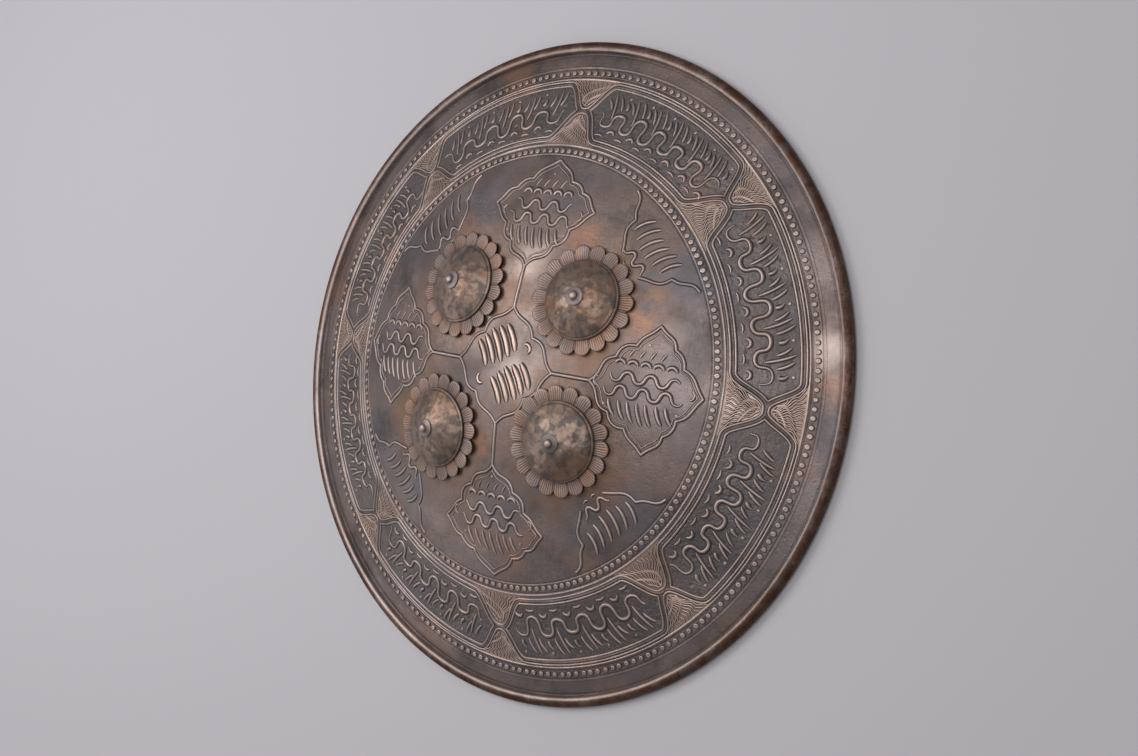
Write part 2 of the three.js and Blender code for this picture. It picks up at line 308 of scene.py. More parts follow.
def start_tree(name, **inputs):
    """A tree that takes a small mesh, sizes and a material, and gives the grown mesh."""
    ends = {"Geometry": "geometry"}
    sizes = {key.replace("_", " ").title(): value for key, value in inputs.items()}
    return new_tree(name, "GeometryNodeTree", {**ends, **sizes, "Material": "material"}, ends)


def place_of(tree):
    return add(tree, "GeometryNodeInputPosition").outputs[0]


def number_of(tree, name):
    kind = "GeometryNodeInputNamedAttribute"
    return add(tree, kind, {"Name": name}, data_type="FLOAT").outputs["Attribute"]


def weld(tree, geometry):
    feeds = {"Geometry": geometry, "Distance": WELD}
    return add(tree, "GeometryNodeMergeByDistance", feeds).outputs[0]


def realize(tree, geometry):
    return add(tree, "GeometryNodeRealizeInstances", {"Geometry": geometry}).outputs[0]


def repeat(tree, points, mesh, **feeds):
    """The same mesh on every point, with a Scale or a Rotation of its own."""
    feeds |= {"Points": points, "Instance": mesh}
    return realize(tree, add(tree, "GeometryNodeInstanceOnPoints", feeds).outputs[0])


def lay(tree, geometry, position):
    """Lays a geometry on the face, from the positions that it has when flat."""
    group = add(tree, "GeometryNodeGroup", node_tree=lay_on_face)
    tree.links.new(position, group.inputs["Position"])
    feeds = {"Geometry": geometry, "Position": group.outputs["Position"]}
    return add(tree, "GeometryNodeSetPosition", feeds).outputs["Geometry"]


def finish_tree(tree, geometry, material, out):
    """The end of each tree: real, smooth mesh with a material."""
    smooth = add(tree, "GeometryNodeSetShadeSmooth", {"Geometry": realize(tree, geometry)})
    feeds = {"Geometry": smooth.outputs[0], "Material": material}
    painted = add(tree, "GeometryNodeSetMaterial", feeds).outputs[0]
    tree.links.new(painted, out.inputs["Geometry"])


print("points closer than", round(WELD / MM, 4), "mm are welded")

# %% [markdown]
# Steel that has been handled for a long time isn't one colour. Brown and bluish patches lie side by
# side, dirt stays in the hollows, and the crests of the relief are rubbed bright. Three effects are
# shared by the materials, so each is a shader group: patches of a colour, wear by height, and fine
# pitting. Each piece says how high a point stands by an attribute called crest: 0 in a hollow, 0.5 on
# plain metal and 1 on a crest. In two places the crest carries painted light too. It is low on the
# flanges beside the raised lines, for painted shade. It is high in a narrow band of the rim's roll, for
# a painted highlight.

# %% Shader groups
DIRT_LEVELS = (0.5, 0.12)
BRIGHT_LEVELS = (0.55, 0.95)
PIT_SPACING = 0.35
PIT_WIDTH = 0.35


def make_patches():
    """Soft-edged patches, as a mask."""
    inputs = {"Vector": "vector", "Size": 0.05, "Shift": 0.0, "Low": 0.45, "High": 0.6}
    tree, given, out = new_tree("patches", "ShaderNodeTree", inputs, {"Mask": "float"})
    feeds = {0: given["Vector"], 1: given["Shift"]}
    moved = add(tree, "ShaderNodeVectorMath", feeds, operation="ADD").outputs[0]
    uneven = cloud(tree, moved, over(tree, 1.0, given["Size"]), 5.0, 0.62)
    tree.links.new(remap(tree, uneven, given["Low"], given["High"]), out.inputs["Mask"])
    return tree


def make_wear():
    """Dirt in hollows and bright metal on crests, both broken up by a fine cloud."""
    inputs = {"Vector": "vector", "Crest": 0.5, "Break Up": 0.35, "Size": 0.012}
    outputs = {"Dirt": "float", "Bright": "float"}
    tree, given, out = new_tree("wear", "ShaderNodeTree", inputs, outputs)
    fine = cloud(tree, given["Vector"], over(tree, 1.0, given["Size"]), 4.0, 0.6)
    change = times(tree, minus(tree, fine, 0.5), given["Break Up"])
    level = plus(tree, given["Crest"], change)
    tree.links.new(remap(tree, level, *DIRT_LEVELS), out.inputs["Dirt"])
    tree.links.new(remap(tree, level, *BRIGHT_LEVELS), out.inputs["Bright"])
    return tree


def make_pitting():
    """Height of fine grain and pits, which a stretch turns into streaks."""
    inputs = {"Vector": "vector", "Size": 0.0012, "Stretch": "vector"}
    tree, given, out = new_tree("pitting", "ShaderNodeTree", inputs, {"Height": "float"})
    scale = over(tree, 1.0, given["Size"])
    feeds = {0: given["Vector"], 1: given["Stretch"]}
    drawn = add(tree, "ShaderNodeVectorMath", feeds, operation="MULTIPLY").outputs[0]
    grain = cloud(tree, drawn, scale, 3.0, 0.55)
    feeds = {"Vector": drawn, "Scale": times(tree, scale, PIT_SPACING)}
    away = add(tree, "ShaderNodeTexVoronoi", feeds, feature="F1").outputs["Distance"]
    pits = remap(tree, away, 0.0, PIT_WIDTH)
    both = plus(tree, times(tree, grain, 0.6), times(tree, pits, 0.4))
    tree.links.new(both, out.inputs["Height"])
    return tree


patches = make_patches()
wear = make_wear()
pitting = make_pitting()
print("shader groups:", patches.name, wear.name, pitting.name)

# %% [markdown]
# A material places these groups with its own values. Its colour is built up in layers, as
# a painter would glaze it: each layer is a mask, a share of it and a colour. Colour,
# roughness and a bump then go into one metal shader.

# %% Helpers for materials
def group(tree, node_tree, **feeds):
    """Places a shader group. Underscores in the names of its inputs stand for spaces."""
    made = add(tree, "ShaderNodeGroup", node_tree=node_tree)
    for key, value in feeds.items():
        feed(tree, made.inputs[key.replace("_", " ").title()], value)
    return made.outputs


def patch(tree, where, size, shift, low, high):
    return group(tree, patches, vector=where, size=size, shift=shift, low=low, high=high)[0]


def pits(tree, where, size, stretch=(1, 1, 1)):
    return group(tree, pitting, vector=where, size=size, stretch=stretch)[0]


def attribute(tree, name, kind="Fac"):
    return add(tree, "ShaderNodeAttribute", attribute_name=name).outputs[kind]


def worn_by(tree, where, break_up):
    """The masks of dirt and of bright metal, from the piece's own crest."""
    return group(tree, wear, vector=where, crest=attribute(tree, "crest"), break_up=break_up)


def blend(tree, factor, under, over_it):
    """One colour over another, by a mask."""
    mix = add(tree, "ShaderNodeMix", data_type="RGBA")
    for place, value in ((0, factor), (6, under), (7, over_it)):
        feed(tree, mix.inputs[place], value)
    return mix.outputs[2]


def layered(tree, colour, layers):
    """Colours laid over one another. A layer is (mask, share, colour)."""
    for mask, share, tone in layers:
        colour = blend(tree, times(tree, mask, share), colour, tone)
    return colour


def new_material(name):
    made = bpy.data.materials.new(name)
    made.use_nodes = True
    tree = made.node_tree
    tree.nodes.clear()
    shader = tree.nodes.new("ShaderNodeBsdfPrincipled")
    output = tree.nodes.new("ShaderNodeOutputMaterial")
    tree.links.new(shader.outputs[0], output.inputs[0])
    where = tree.nodes.new("ShaderNodeTexCoord").outputs["Object"]
    return made, tree, shader.inputs, where


def finish_metal(tree, shader, colour, rough, metallic, height, depth):
    """Joins a colour, a roughness and a height of so many metres to the shader."""
    feeds = {"Height": height, "Distance": depth, "Strength": 1.0}
    normal = add(tree, "ShaderNodeBump", feeds).outputs[0]
    ends = {"Base Color": colour, "Roughness": rough, "Metallic": metallic, "Normal": normal}
    for key, value in ends.items():
        feed(tree, shader[key], value)


# %% [markdown]
# The plate is grey-brown with a violet tinge. Bluish grounds lie in the panels,
# copper-coloured patches where the steel has rusted and been polished again, and fine
# scratches where hands have rubbed it. The patches are taken from the point's own place on
# the object, so they run on from the plate over the lines and the washers. Each kind of
# patch is given by its size in metres, a shift that makes it its own, and the low and the
# high value between which it fades in.

# %% Steel of the plate
def rgb(red, green, blue):
    return (red, green, blue, 1.0)


PLATE_GREY = rgb(0.200, 0.162, 0.158)
PLATE_BROWN = rgb(0.205, 0.146, 0.126)
PLATE_BLUE = rgb(0.125, 0.128, 0.150)
PLATE_DARK = rgb(0.080, 0.068, 0.068)
COPPER = rgb(0.330, 0.170, 0.112)
STAIN = rgb(0.210, 0.125, 0.075)
GROUND = rgb(0.130, 0.120, 0.122)
BRASSY = rgb(0.460, 0.330, 0.270)
DIRT = rgb(0.036, 0.030, 0.028)
BRIGHT = rgb(0.660, 0.525, 0.465)
RIM_RUST = rgb(0.080, 0.036, 0.021)
PLATE_PATCHES = [
    ((0.055, 1.3, 0.44, 0.62), 0.65, PLATE_BROWN),
    ((0.07, 4.1, 0.50, 0.66), 0.6, PLATE_BLUE),
    ((0.04, 2.9, 0.48, 0.66), 0.6, PLATE_DARK),
    ((0.06, 7.7, 0.54, 0.68), 0.5, COPPER),
]
# In the dark spots this darkens the colour partly as patina and partly as painted shade.
PLATE_SPOTS = {"stain": STAIN, "dark": PLATE_DARK, "blue": PLATE_BLUE, "copper": COPPER}
CRUST = (0.016, 6.2, 0.3, 0.62)
RIM_CRUST = (0.012, 3.7, 0.35, 0.6)
RUBBED = (0.05, 11.0, 0.42, 0.6)
PLATE_SMEARS = (0.03, 9.0, 0.35, 0.65)
STREAK_SIZE = 0.0006
STREAKS = ((0.10, 1.0, 0.4), (1.0, 0.12, 0.4))
METALLIC = 0.8
CHIP_HEIGHT = 5.0


def plate_colour(tree, where):
    """The patchy colour of the old sheet, which its raised lines share."""
    layers = [(patch(tree, where, *cut), share, tone) for cut, share, tone in PLATE_PATCHES]
    return layered(tree, PLATE_GREY, layers)


def scratched(tree, where, colour):
    """Fine dark and bright scratches that cross one another, where the plate is rubbed."""
    rubbed = patch(tree, where, *RUBBED)
    marks = times(tree, *[pits(tree, where, STREAK_SIZE, way) for way in STREAKS])
    dark = times(tree, remap(tree, marks, 0.25, 0.05, 0.0, 0.2), rubbed)
    light = times(tree, remap(tree, marks, 0.35, 0.6, 0.0, 0.14), rubbed)
    return blend(tree, light, blend(tree, dark, colour, DIRT), BRIGHT)


def aged_plate_colour(tree, where):
    """The plate's colour with its own spots and parts, dirt, wear, rust and scratches. Some spots are
    painted shade and painted highlights as well.
    """
    crust = patch(tree, where, *CRUST)
    layers = [
        (times(tree, attribute(tree, name), crust), 0.85, tone)
        for name, tone in PLATE_SPOTS.items()
    ]
    worn = worn_by(tree, where, 0.45)
    layers += [
        (attribute(tree, "panel"), 0.6, GROUND),
        (attribute(tree, "spandrel"), 0.7, BRASSY),
        (worn["Dirt"], 0.7, DIRT),
        (worn["Bright"], 0.7, BRIGHT),
    ]
    colour = layered(tree, plate_colour(tree, where), layers)
    rusty = remap(tree, patch(tree, where, *RIM_CRUST), 0.0, 1.0, 0.6, 1.0)
    colour = blend(tree, times(tree, attribute(tree, "rim"), rusty), colour, RIM_RUST)
    colour = scratched(tree, where, colour)
    # The polished spots brighten the colour: a painted highlight as well as polish.
    return layered(tree, colour, [(attribute(tree, "polish_and_highlight"), 0.45, BRIGHT)])


def plate_roughness(tree, where):
    rough = plus(tree, 0.41, times(tree, patch(tree, where, *PLATE_SMEARS), 0.16))
    rough = plus(tree, rough, times(tree, attribute(tree, "panel"), 0.06))
    rough = plus(tree, rough, times(tree, attribute(tree, "rim"), 0.14))
    return minus(tree, rough, times(tree, attribute(tree, "polish_and_highlight"), 0.08))


def make_plate_material():
    made, tree, shader, where = new_material("plate_patina")
    colour = aged_plate_colour(tree, where)
    rough = plate_roughness(tree, where)
    chips = times(tree, pits(tree, where, 0.0026), attribute(tree, "panel"))
    height = plus(tree, pits(tree, where, 0.0016), times(tree, chips, CHIP_HEIGHT))
    finish_metal(tree, shader, colour, rough, METALLIC, height, 0.0002)
    return made


plate_material = make_plate_material()
print("nodes in the plate's material:", len(plate_material.node_tree.nodes))

# %% [markdown]
# Raised lines, washers and rivets are the same steel, rubbed to a pinkish bright on their
# crests and dirty in their hollows. One function makes all of these finishes. They differ
# in the tone of the bright metal, in how far the dirt and the bright go, in roughness and
# in rust.

# %% Steel of the raised work
BRASSY_BRIGHT = rgb(0.700, 0.520, 0.430)
BRIGHT_BROWN = rgb(0.430, 0.310, 0.245)
WASHER_DIRT = rgb(0.110, 0.060, 0.040)
PINK = rgb(0.760, 0.540, 0.440)
RUST = rgb(0.280, 0.130, 0.065)
RUST_SPECKS = (0.012, 1.9, 0.46, 0.6)
DULLED = (0.04, 5.5, 0.4, 0.62)
RELIEF_SMEARS = (0.02, 3.0, 0.35, 0.65)


def make_relief_material(name, bright, dirt, dirt_share, bright_share, roughness, rust=0.0):
    """Raised metal. The shares say how far hollows take the dirt and crests the bright."""
    made, tree, shader, where = new_material(name)
    worn = worn_by(tree, where, 0.6)
    layers = [
        (patch(tree, where, *RUST_SPECKS), rust, RUST),
        (worn["Dirt"], dirt_share, dirt),
    ]
    colour = layered(tree, plate_colour(tree, where), layers)
    dulled = patch(tree, where, *DULLED)
    shine = remap(tree, dulled, 0.0, 1.0, bright_share, 0.7 * bright_share)
    colour = blend(tree, times(tree, worn["Bright"], shine), colour, bright)
    rough = plus(tree, roughness, times(tree, patch(tree, where, *RELIEF_SMEARS), 0.14))
    finish_metal(tree, shader, colour, rough, METALLIC, pits(tree, where, 0.0012), 0.00006)
    return made


line_material = make_relief_material("raised_steel", BRIGHT, DIRT, 0.6, 0.75, 0.43)
hatch_material = make_relief_material("hatched_brass", BRASSY_BRIGHT, DIRT, 0.65, 0.9, 0.42)
centre_material = make_relief_material("raised_pink_tone", PINK, DIRT, 0.85, 0.95, 0.36)
washer_material = make_relief_material(
    "washer_brown", BRIGHT_BROWN, WASHER_DIRT, 0.9, 0.8, 0.5, rust=0.45
)
rivet_material = make_relief_material("rivet_worn", BRIGHT, WASHER_DIRT, 0.8, 0.75, 0.42)
print("materials so far:", len(bpy.data.materials))

# %% [markdown]
# The bosses are darker and browner than the plate, with pale and nearly black blotches that are drawn
# outwards a little. The blotches are partly mottled patina and partly painted reflections of the
# hammered facets, bright and dark. Object coordinates would give round blotches, so these read an
# attribute called grain, which the bosses get when they are made.

# %% Steel of the bosses
BOSS_BROWN = rgb(0.265, 0.190, 0.150)
BOSS_DARK = rgb(0.060, 0.060, 0.066)
BOSS_PALE = rgb(0.480, 0.390, 0.330)
# The pale and dark blotches are partly patina and partly painted reflections of the hammered facets.
DARK_BLOTCHES_AND_REFLECTIONS = (0.0065, 5.0, 0.45, 0.6)
PALE_BLOTCHES_AND_SHEEN = (0.004, 2.2, 0.52, 0.7)
RUST_BLOTCHES = (0.025, 8.0, 0.44, 0.62)


def make_boss_material():
    made, tree, shader, where = new_material("boss_hammered")
    grain = attribute(tree, "grain", "Vector")
    dark = patch(tree, grain, *DARK_BLOTCHES_AND_REFLECTIONS)
    worn = worn_by(tree, where, 0.3)
    layers = [
        (patch(tree, where, *RUST_BLOTCHES), 0.45, RUST),
        (patch(tree, grain, *PALE_BLOTCHES_AND_SHEEN), 0.22, BOSS_PALE),
        (dark, 0.62, BOSS_DARK),
        (worn["Dirt"], 0.8, DIRT),
        (worn["Bright"], 0.5, BRASSY),
    ]
    colour = layered(tree, BOSS_BROWN, layers)
    rough = plus(tree, 0.42, times(tree, dark, 0.12))
    finish_metal(tree, shader, colour, rough, 0.7, pits(tree, where, 0.0022), 0.0002)
    return made


boss_material = make_boss_material()
print("nodes in the bosses' material:", len(boss_material.node_tree.nodes))

# %% [markdown]
# The plate, the bosses and the rivets are all turned shapes. Blender's Spin tool or a
# Screw modifier would do, but a small Geometry Nodes tree can also lay the result on the
# face, add dents and carry the crest attribute from the profile to every column. The tree
# bends a grid round the axis: each row of the grid reads its radius and height from one
# point of the profile, and merging by distance closes the seam and the poles. A profile
# runs upwards on its outer side, so that the faces look outwards.

# %% Tree: turned shape
def of_profile(tree, profile, value, row, data_type="FLOAT"):
    """What the profile's point has in the same row."""
    feeds = {"Geometry": profile, "Value": value, "Index": row}
    return add(tree, "GeometryNodeSampleIndex", feeds, data_type=data_type).outputs[0]


def make_turned_tree(name, on_face):
    tree, given, out = start_tree(
        name, columns=96, dent_depth=0.0, dent_size=5.0 * MM, seed=0.0
    )
    profile = given["Geometry"]
    columns = given["Columns"]
    size = add(tree, "GeometryNodeAttributeDomainSize", {"Geometry": profile})
    rows = size.outputs["Point Count"]
    feeds = {"Vertices X": plus(tree, columns, 1.0), "Vertices Y": rows}
    grid = add(tree, "GeometryNodeMeshGrid", feeds).outputs["Mesh"]
    index = add(tree, "GeometryNodeInputIndex").outputs[0]
    row = calc(tree, "MODULO", index, rows)
    column = calc(tree, "FLOOR", over(tree, index, rows))
    r, _, z = split(tree, of_profile(tree, profile, place_of(tree), row, "FLOAT_VECTOR"))
    angle = times(tree, column, over(tree, math.tau, columns))
    x = times(tree, r, calc(tree, "COSINE", angle))
    y = times(tree, r, calc(tree, "SINE", angle))
    crest = of_profile(tree, profile, number_of(tree, "crest"), row)
    dented = of_profile(tree, profile, number_of(tree, "dented"), row)
    scale = over(tree, 1.0, given["Dent Size"])
    beaten = minus(tree, cloud(tree, joined(tree, x, y, given["Seed"]), scale, 1.0), 0.5)
    dent = times(tree, times(tree, beaten, given["Dent Depth"]), dented)
    feeds = {"Geometry": grid, "Position": joined(tree, x, y, plus(tree, z, dent))}
    bent = add(tree, "GeometryNodeSetPosition", feeds).outputs[0]
    feeds = {"Geometry": bent, "Name": "crest", "Value": crest}
    marked = add(tree, "GeometryNodeStoreNamedAttribute", feeds, domain="POINT").outputs[0]
    turned = weld(tree, marked)
    if on_face:
        turned = lay(tree, turned, place_of(tree))
    finish_tree(tree, turned, given["Material"], out)
    return tree


turned_on_face = make_turned_tree("turned_on_face", True)
turned_piece = make_turned_tree("turned_piece", False)
print("nodes that turn a profile:", len(turned_piece.nodes))


def profile_wire(name, stations):
    """A profile of (radius, height, crest, dented) in millimetres, as a wire."""
    points = [(r * MM, 0.0, z * MM) for r, z, _, _ in stations]
    edges = [(i, i + 1) for i in range(len(points) - 1)]
    _, _, crest, dented = zip(*stations)
    return small_mesh(name, points, edges, crest=crest, dented=dented)


# %% [markdown]
# The plate's profile runs from the top of the dome over the face, round the rolled rim
# and back under the sheet. Rings that go all the way round belong in it: the thin lines
# and grooves that edge the two rows of pearls and the band. Each ring is a small rounded
# bump or hollow, given by its radius, half width and height, and by what it adds to the
# crest. Where there are rings the points lie close together, and on the plain dome they
# may be far apart. A crease parts the border from the roll.

# %% The plate
RINGS = [
    (145.7, 0.6, -0.22, -0.35),
    (146.8, 0.6, 0.25, 0.25),
    (149.3, 2.2, -0.16, -0.12),
    (152.2, 0.6, -0.22, -0.35),
    (153.7, 0.8, 0.50, 0.45),
    (203.0, 0.8, 0.50, 0.45),
    (204.7, 0.6, -0.22, -0.35),
    (207.5, 2.2, -0.16, -0.12),
    (210.6, 0.6, -0.22, -0.35),
    (212.0, 0.6, 0.20, 0.15),
]
RING_STEP = 0.36
FACE_STRETCHES = [
    (0, 144, 4.0),
    (144.5, 155.4, RING_STEP),
    (156.5, 201, 2.5),
    (201.6, 213.2, RING_STEP),
]
BORDER_RADII = [215.0, 217.5, 219.5, 220.8]
UNDERSIDE_STRETCHES = [(218, 165, -5.0), (160, -1, -8.0)]
PLATE_COLUMNS = 400
CREASE = (221.6, -0.5, 0.05, 0.0)
ROLL_STEPS = 20
ROLL_FROM = 150
ROLL_TURN = 300
# The next two place a painted highlight on the roll. The first is the angle round the roll where its
# crest, and so its bright colour, peaks. The second is how narrow that band is.
ROLL_HIGHLIGHT_AT = 118
ROLL_HIGHLIGHT_SHARPNESS = 24


def ring_relief(r):
    """Height of the rings above the plain face, and the crest value that goes with it."""
    height = 0.0
    crest = 0.5
    for centre, half_width, rise, shade in RINGS:
        near = abs(r - centre) / half_width
        if near < 1:
            share = 0.5 + 0.5 * math.cos(math.pi * near)
            height += rise * share
            crest += shade * share
    return height, crest


def roll_stations():
    """The rolled rim, from its inner side over the top and down to the foot, with a painted highlight:
    a narrow band of high crest along its inner shoulder.
    """
    stations = []
    for step in range(ROLL_STEPS + 1):
        angle = math.radians(ROLL_FROM) - step * math.radians(ROLL_TURN) / ROLL_STEPS
        r = ROLL_CENTRE + ROLL_RADIUS * math.cos(angle)
        z = ROLL_RADIUS * (1 + math.sin(angle))
        towards = max(0.0, math.cos(angle - math.radians(ROLL_HIGHLIGHT_AT)))
        crest = 0.4 + 0.55 * towards**ROLL_HIGHLIGHT_SHARPNESS
        stations.append((r, z - float(face_height(r)), crest, 0.0))
    return stations


def plate_stations():
    stretches = [np.arange(*stretch) for stretch in FACE_STRETCHES]
    radii = np.concatenate([*stretches, BORDER_RADII])
    stations = [(r, *ring_relief(r), 0.0) for r in radii]
    stations += [CREASE, *roll_stations()]
    for r in np.concatenate([np.arange(*stretch) for stretch in UNDERSIDE_STRETCHES]):
        tilt = math.asin(min(r, FLARE_START) / DOME_RADIUS)
        stations.append((r, -SHEET / math.cos(tilt), 0.5, 0.0))
    return stations[::-1]


plate = grow(
    "shield_plate",
    turned_on_face,
    profile_wire("plate_profile", plate_stations()),
    columns=PLATE_COLUMNS,
    material=plate_material,
)

# %% [markdown]
# The band between the two rows of pearls is divided by two straps. They run round it,
# swing towards each other eight times and cross there, so that eight long panels lie
# between them, with small spandrels above and below each crossing. Each strap's middle
# line is a formula of the angle; its two raised edges are the same line set off to either
# side.

# %% The straps' course
PANELS = 8
PITCH = 360 / PANELS
STRAP_OUTER = 199.5
STRAP_INNER = 158.2
STRAP_CROSSING = 179.4
OUTER_BEND = 6.2
INNER_BEND = 7.7
STRAP_HALF = 1.65
PANEL_TIP_GAP = 0.3
LOOK_AHEAD = 0.05


def eased(t):
    """A smooth step from 0 to 1, of a number or of an array."""
    t = np.clip(t, 0.0, 1.0)
    return t**3 * (t * (6 * t - 15) + 10)


def strap_radius(offset, level, bend):
    """Radius of a strap's middle line at an angle in degrees from a crossing."""
    near = abs((offset + PITCH / 2) % PITCH - PITCH / 2)
    return STRAP_CROSSING + (level - STRAP_CROSSING) * eased(near / bend)


def polar(r, degrees):
    angle = math.radians(degrees)
    return (r * math.cos(angle), r * math.sin(angle))


def strap_edge(level, bend, side, start, end, step=0.25):
    """One raised edge of a strap as plan points. side is 1 outwards and -1 inwards."""
    points = []
    count = max(int(round((end - start) / step)), 2)
    for i in range(count + 1):
        offset = start + (end - start) * i / count
        next_offset = offset + LOOK_AHEAD
        here = Vector(polar(strap_radius(offset, level, bend), offset))
        ahead = Vector(polar(strap_radius(next_offset, level, bend), next_offset))
        along = (ahead - here).normalized()
        points.append(here + side * STRAP_HALF * Vector((along.y, -along.x)))
    return points


def panel_outline(panel):
    """The loop round a panel, pointed where the straps meet: outer edge there, inner back."""
    above = strap_edge(STRAP_OUTER, OUTER_BEND, -1, 0, PITCH)
    below = strap_edge(STRAP_INNER, INNER_BEND, 1, 0, PITCH)
    gaps = [a.length - b.length for a, b in zip(above, below)]
    keep = [i for i, gap in enumerate(gaps) if gap > PANEL_TIP_GAP]
    tips = []
    for i in (keep[0], keep[-1]):
        middle = (above[i] + below[i]) / 2
        tips.append(middle * (STRAP_CROSSING / middle.length))
    loop = [tips[0], *[above[i] for i in keep], tips[1], *[below[i] for i in reversed(keep)]]
    turn = Matrix.Rotation(math.radians(panel * PITCH), 2)
    return [turn @ point for point in loop]


print("points round a panel:", len(panel_outline(0)))

# %% [markdown]
# The plate is coloured differently in its parts. The panels have a bluish dark ground, the spandrels
# are brassy, the outer side of the rim is rusty, and brown crust has spread round the washers. A few
# soft spots are darker, bluer, redder or brighter. The darker ones are partly patina and partly painted
# shade. The brighter ones are rubbed smoother and carry a painted highlight. The plate's own mesh
# carries each of those as an attribute, worked out from the same course of the straps. The edges of the
# panels lie under the straps, so the plate needs no finer mesh for them.

# %% Colour masks of the plate
BOSSES = [("ne", 72.3, 44.3), ("nw", 69.8, 135.2), ("sw", 72.4, 223.8), ("se", 67.2, 320.1)]
BAND_OUTER = 203
BAND_INNER = 154
SPANDREL_END = 0.98
RUST_START = 224.6
RUST_FADE = 1.2
STAIN_START = 34.0
STAIN_REACH = 26.0
SPOTS = {
    # The dark spots are partly patina and partly painted shade, most of them on the -X side.
    "dark": [(-119, 46, 34), (-130, -8, 24), (-116, -60, 26), (60, -40, 20), (128, 92, 24)],
    "copper": [(99, 50, 26), (38, 92, 20), (-62, 88, 20), (-76, -58, 26), (-8, -54, 20)],
    "blue": [(-76, -94, 28), (76, -92, 26), (-46, 100, 22), (-30, -20, 22), (150, -62, 20)],
    # The polished spots are smoother and brighter: polish and a painted highlight.
    "polish_and_highlight": [(6, 72, 24), (164, -1, 16), (10, -6, 26), (208, 44, 20)],
}


def places_of(mesh):
    """The x, y and z of all points, as three arrays."""
    places = np.empty(len(mesh.vertices) * 3)
    mesh.vertices.foreach_get("co", places)
    return places.reshape(-1, 3).T


def within(distance):
    """1 more than a millimetre inside an edge, and 0 outside it."""
    return np.clip(distance - 1, 0, 1)


def near_any(x, y, spots, fade):
    """The strongest of some round spots, each (x, y, radius), that fade outwards."""
    mask = np.zeros_like(x)
    for spot_x, spot_y, radius in spots:
        mask = np.maximum(mask, 1 - fade(np.hypot(x - spot_x, y - spot_y), radius))
    return mask


def soft_spot(away, radius):
    return eased(away / radius)


def stain_ring(away, start):
    return np.clip((away - start) / STAIN_REACH, 0, 1)


def mark_plate(mesh):
    x, y, z = places_of(mesh) / MM
    r = np.hypot(x, y)
    offset = np.degrees(np.arctan2(y, x)) % PITCH
    near = np.minimum(offset, PITCH - offset)
    outer = strap_radius(near, STRAP_OUTER, OUTER_BEND)
    inner = strap_radius(near, STRAP_INNER, INNER_BEND)
    on_top = z > face_height(r) - 0.5 * SHEET
    panel = within(r - inner) * within(outer - r) * on_top
    upper = within(r - outer) * (r < BAND_OUTER) * (near < SPANDREL_END * OUTER_BEND)
    lower = within(inner - r) * (r > BAND_INNER) * (near < SPANDREL_END * INNER_BEND)
    washers = [(*polar(distance, degrees), STAIN_START) for _, distance, degrees in BOSSES]
    store(mesh, "panel", panel)
    store(mesh, "spandrel", np.maximum(upper, lower) * on_top)
    store(mesh, "rim", np.clip((r - RUST_START) / RUST_FADE, 0, 1))
    store(mesh, "stain", near_any(x, y, washers, stain_ring) * on_top)
    for name, spots in SPOTS.items():
        store(mesh, name, near_any(x, y, spots, soft_spot) * on_top)
    print("points in panels:", int((panel > 0.5).sum()))


mark_plate(plate.data)

# %% [markdown]
# A raised line is a wire swept with a small section. On the real shield the ground was cut back beside
# each line, so the section has a low flat flange on both sides of its rounded crest. The flange's low
# crest value darkens it, as painted shade of that cut. A Bezier curve with a bevel object does the same
# by hand. The tree takes the half width from the wire, so that a stroke can taper, and lays the result
# on the face. The section is drawn in half widths as (side, height, crest), and Rise scales its height.

# %% Tree: raised lines
# The flanges, at crest 0.12 to 0.15, come out dark: painted shade beside the line.
LINE_SECTION = [
    (-1.70, -0.60, 0.0),
    (-1.60, 0.10, 0.12),
    (-1.00, 0.12, 0.15),
    (-0.52, 0.84, 0.95),
    (0.00, 1.00, 1.0),
    (0.52, 0.84, 0.95),
    (1.00, 0.12, 0.15),
    (1.60, 0.10, 0.12),
    (1.70, -0.60, 0.0),
]
RIBBON_SECTION = [(-1.0, -1.0, 0.35), (-1.0, 1.0, 0.35), (1.0, 1.0, 0.35), (1.0, -1.0, 0.35)]
helpers = []


def section_object(name, section):
    """A closed section in its own XY plane. A swept curve's section hangs upside down."""
    points = [(side, -up, 0.0) for side, up, _ in section]
    edges = [(i, (i + 1) % len(points)) for i in range(len(points))]
    made = stand(name, small_mesh(name, points, edges, crest=[crest for _, _, crest in section]))
    helpers.append(made)
    return made


def make_raised_lines():
    tree, given, out = start_tree("raised_lines", section="object", rise=0.9, base=0.0)
    curve = add(tree, "GeometryNodeMeshToCurve", {"Mesh": given["Geometry"]}).outputs[0]
    level = add(tree, "GeometryNodeSetCurveNormal", {"Curve": curve}, mode="Z_UP").outputs[0]
    drawn = add(tree, "GeometryNodeObjectInfo", {"Object": given["Section"]})
    around = add(tree, "GeometryNodeMeshToCurve", {"Mesh": drawn.outputs["Geometry"]}).outputs[0]
    feeds = {"Curve": level, "Profile Curve": around, "Fill Caps": True}
    feeds["Scale"] = number_of(tree, "half_width")
    swept = add(tree, "GeometryNodeCurveToMesh", feeds).outputs[0]
    x, y, z = split(tree, place_of(tree))
    height = plus(tree, times(tree, z, given["Rise"]), given["Base"])
    laid = lay(tree, swept, joined(tree, x, y, height))
    finish_tree(tree, laid, given["Material"], out)
    return tree


raised_lines = make_raised_lines()
line_section = section_object("line_section", LINE_SECTION)
ribbon_section = section_object("ribbon_section", RIBBON_SECTION)
print("points of a line's section:", len(LINE_SECTION))


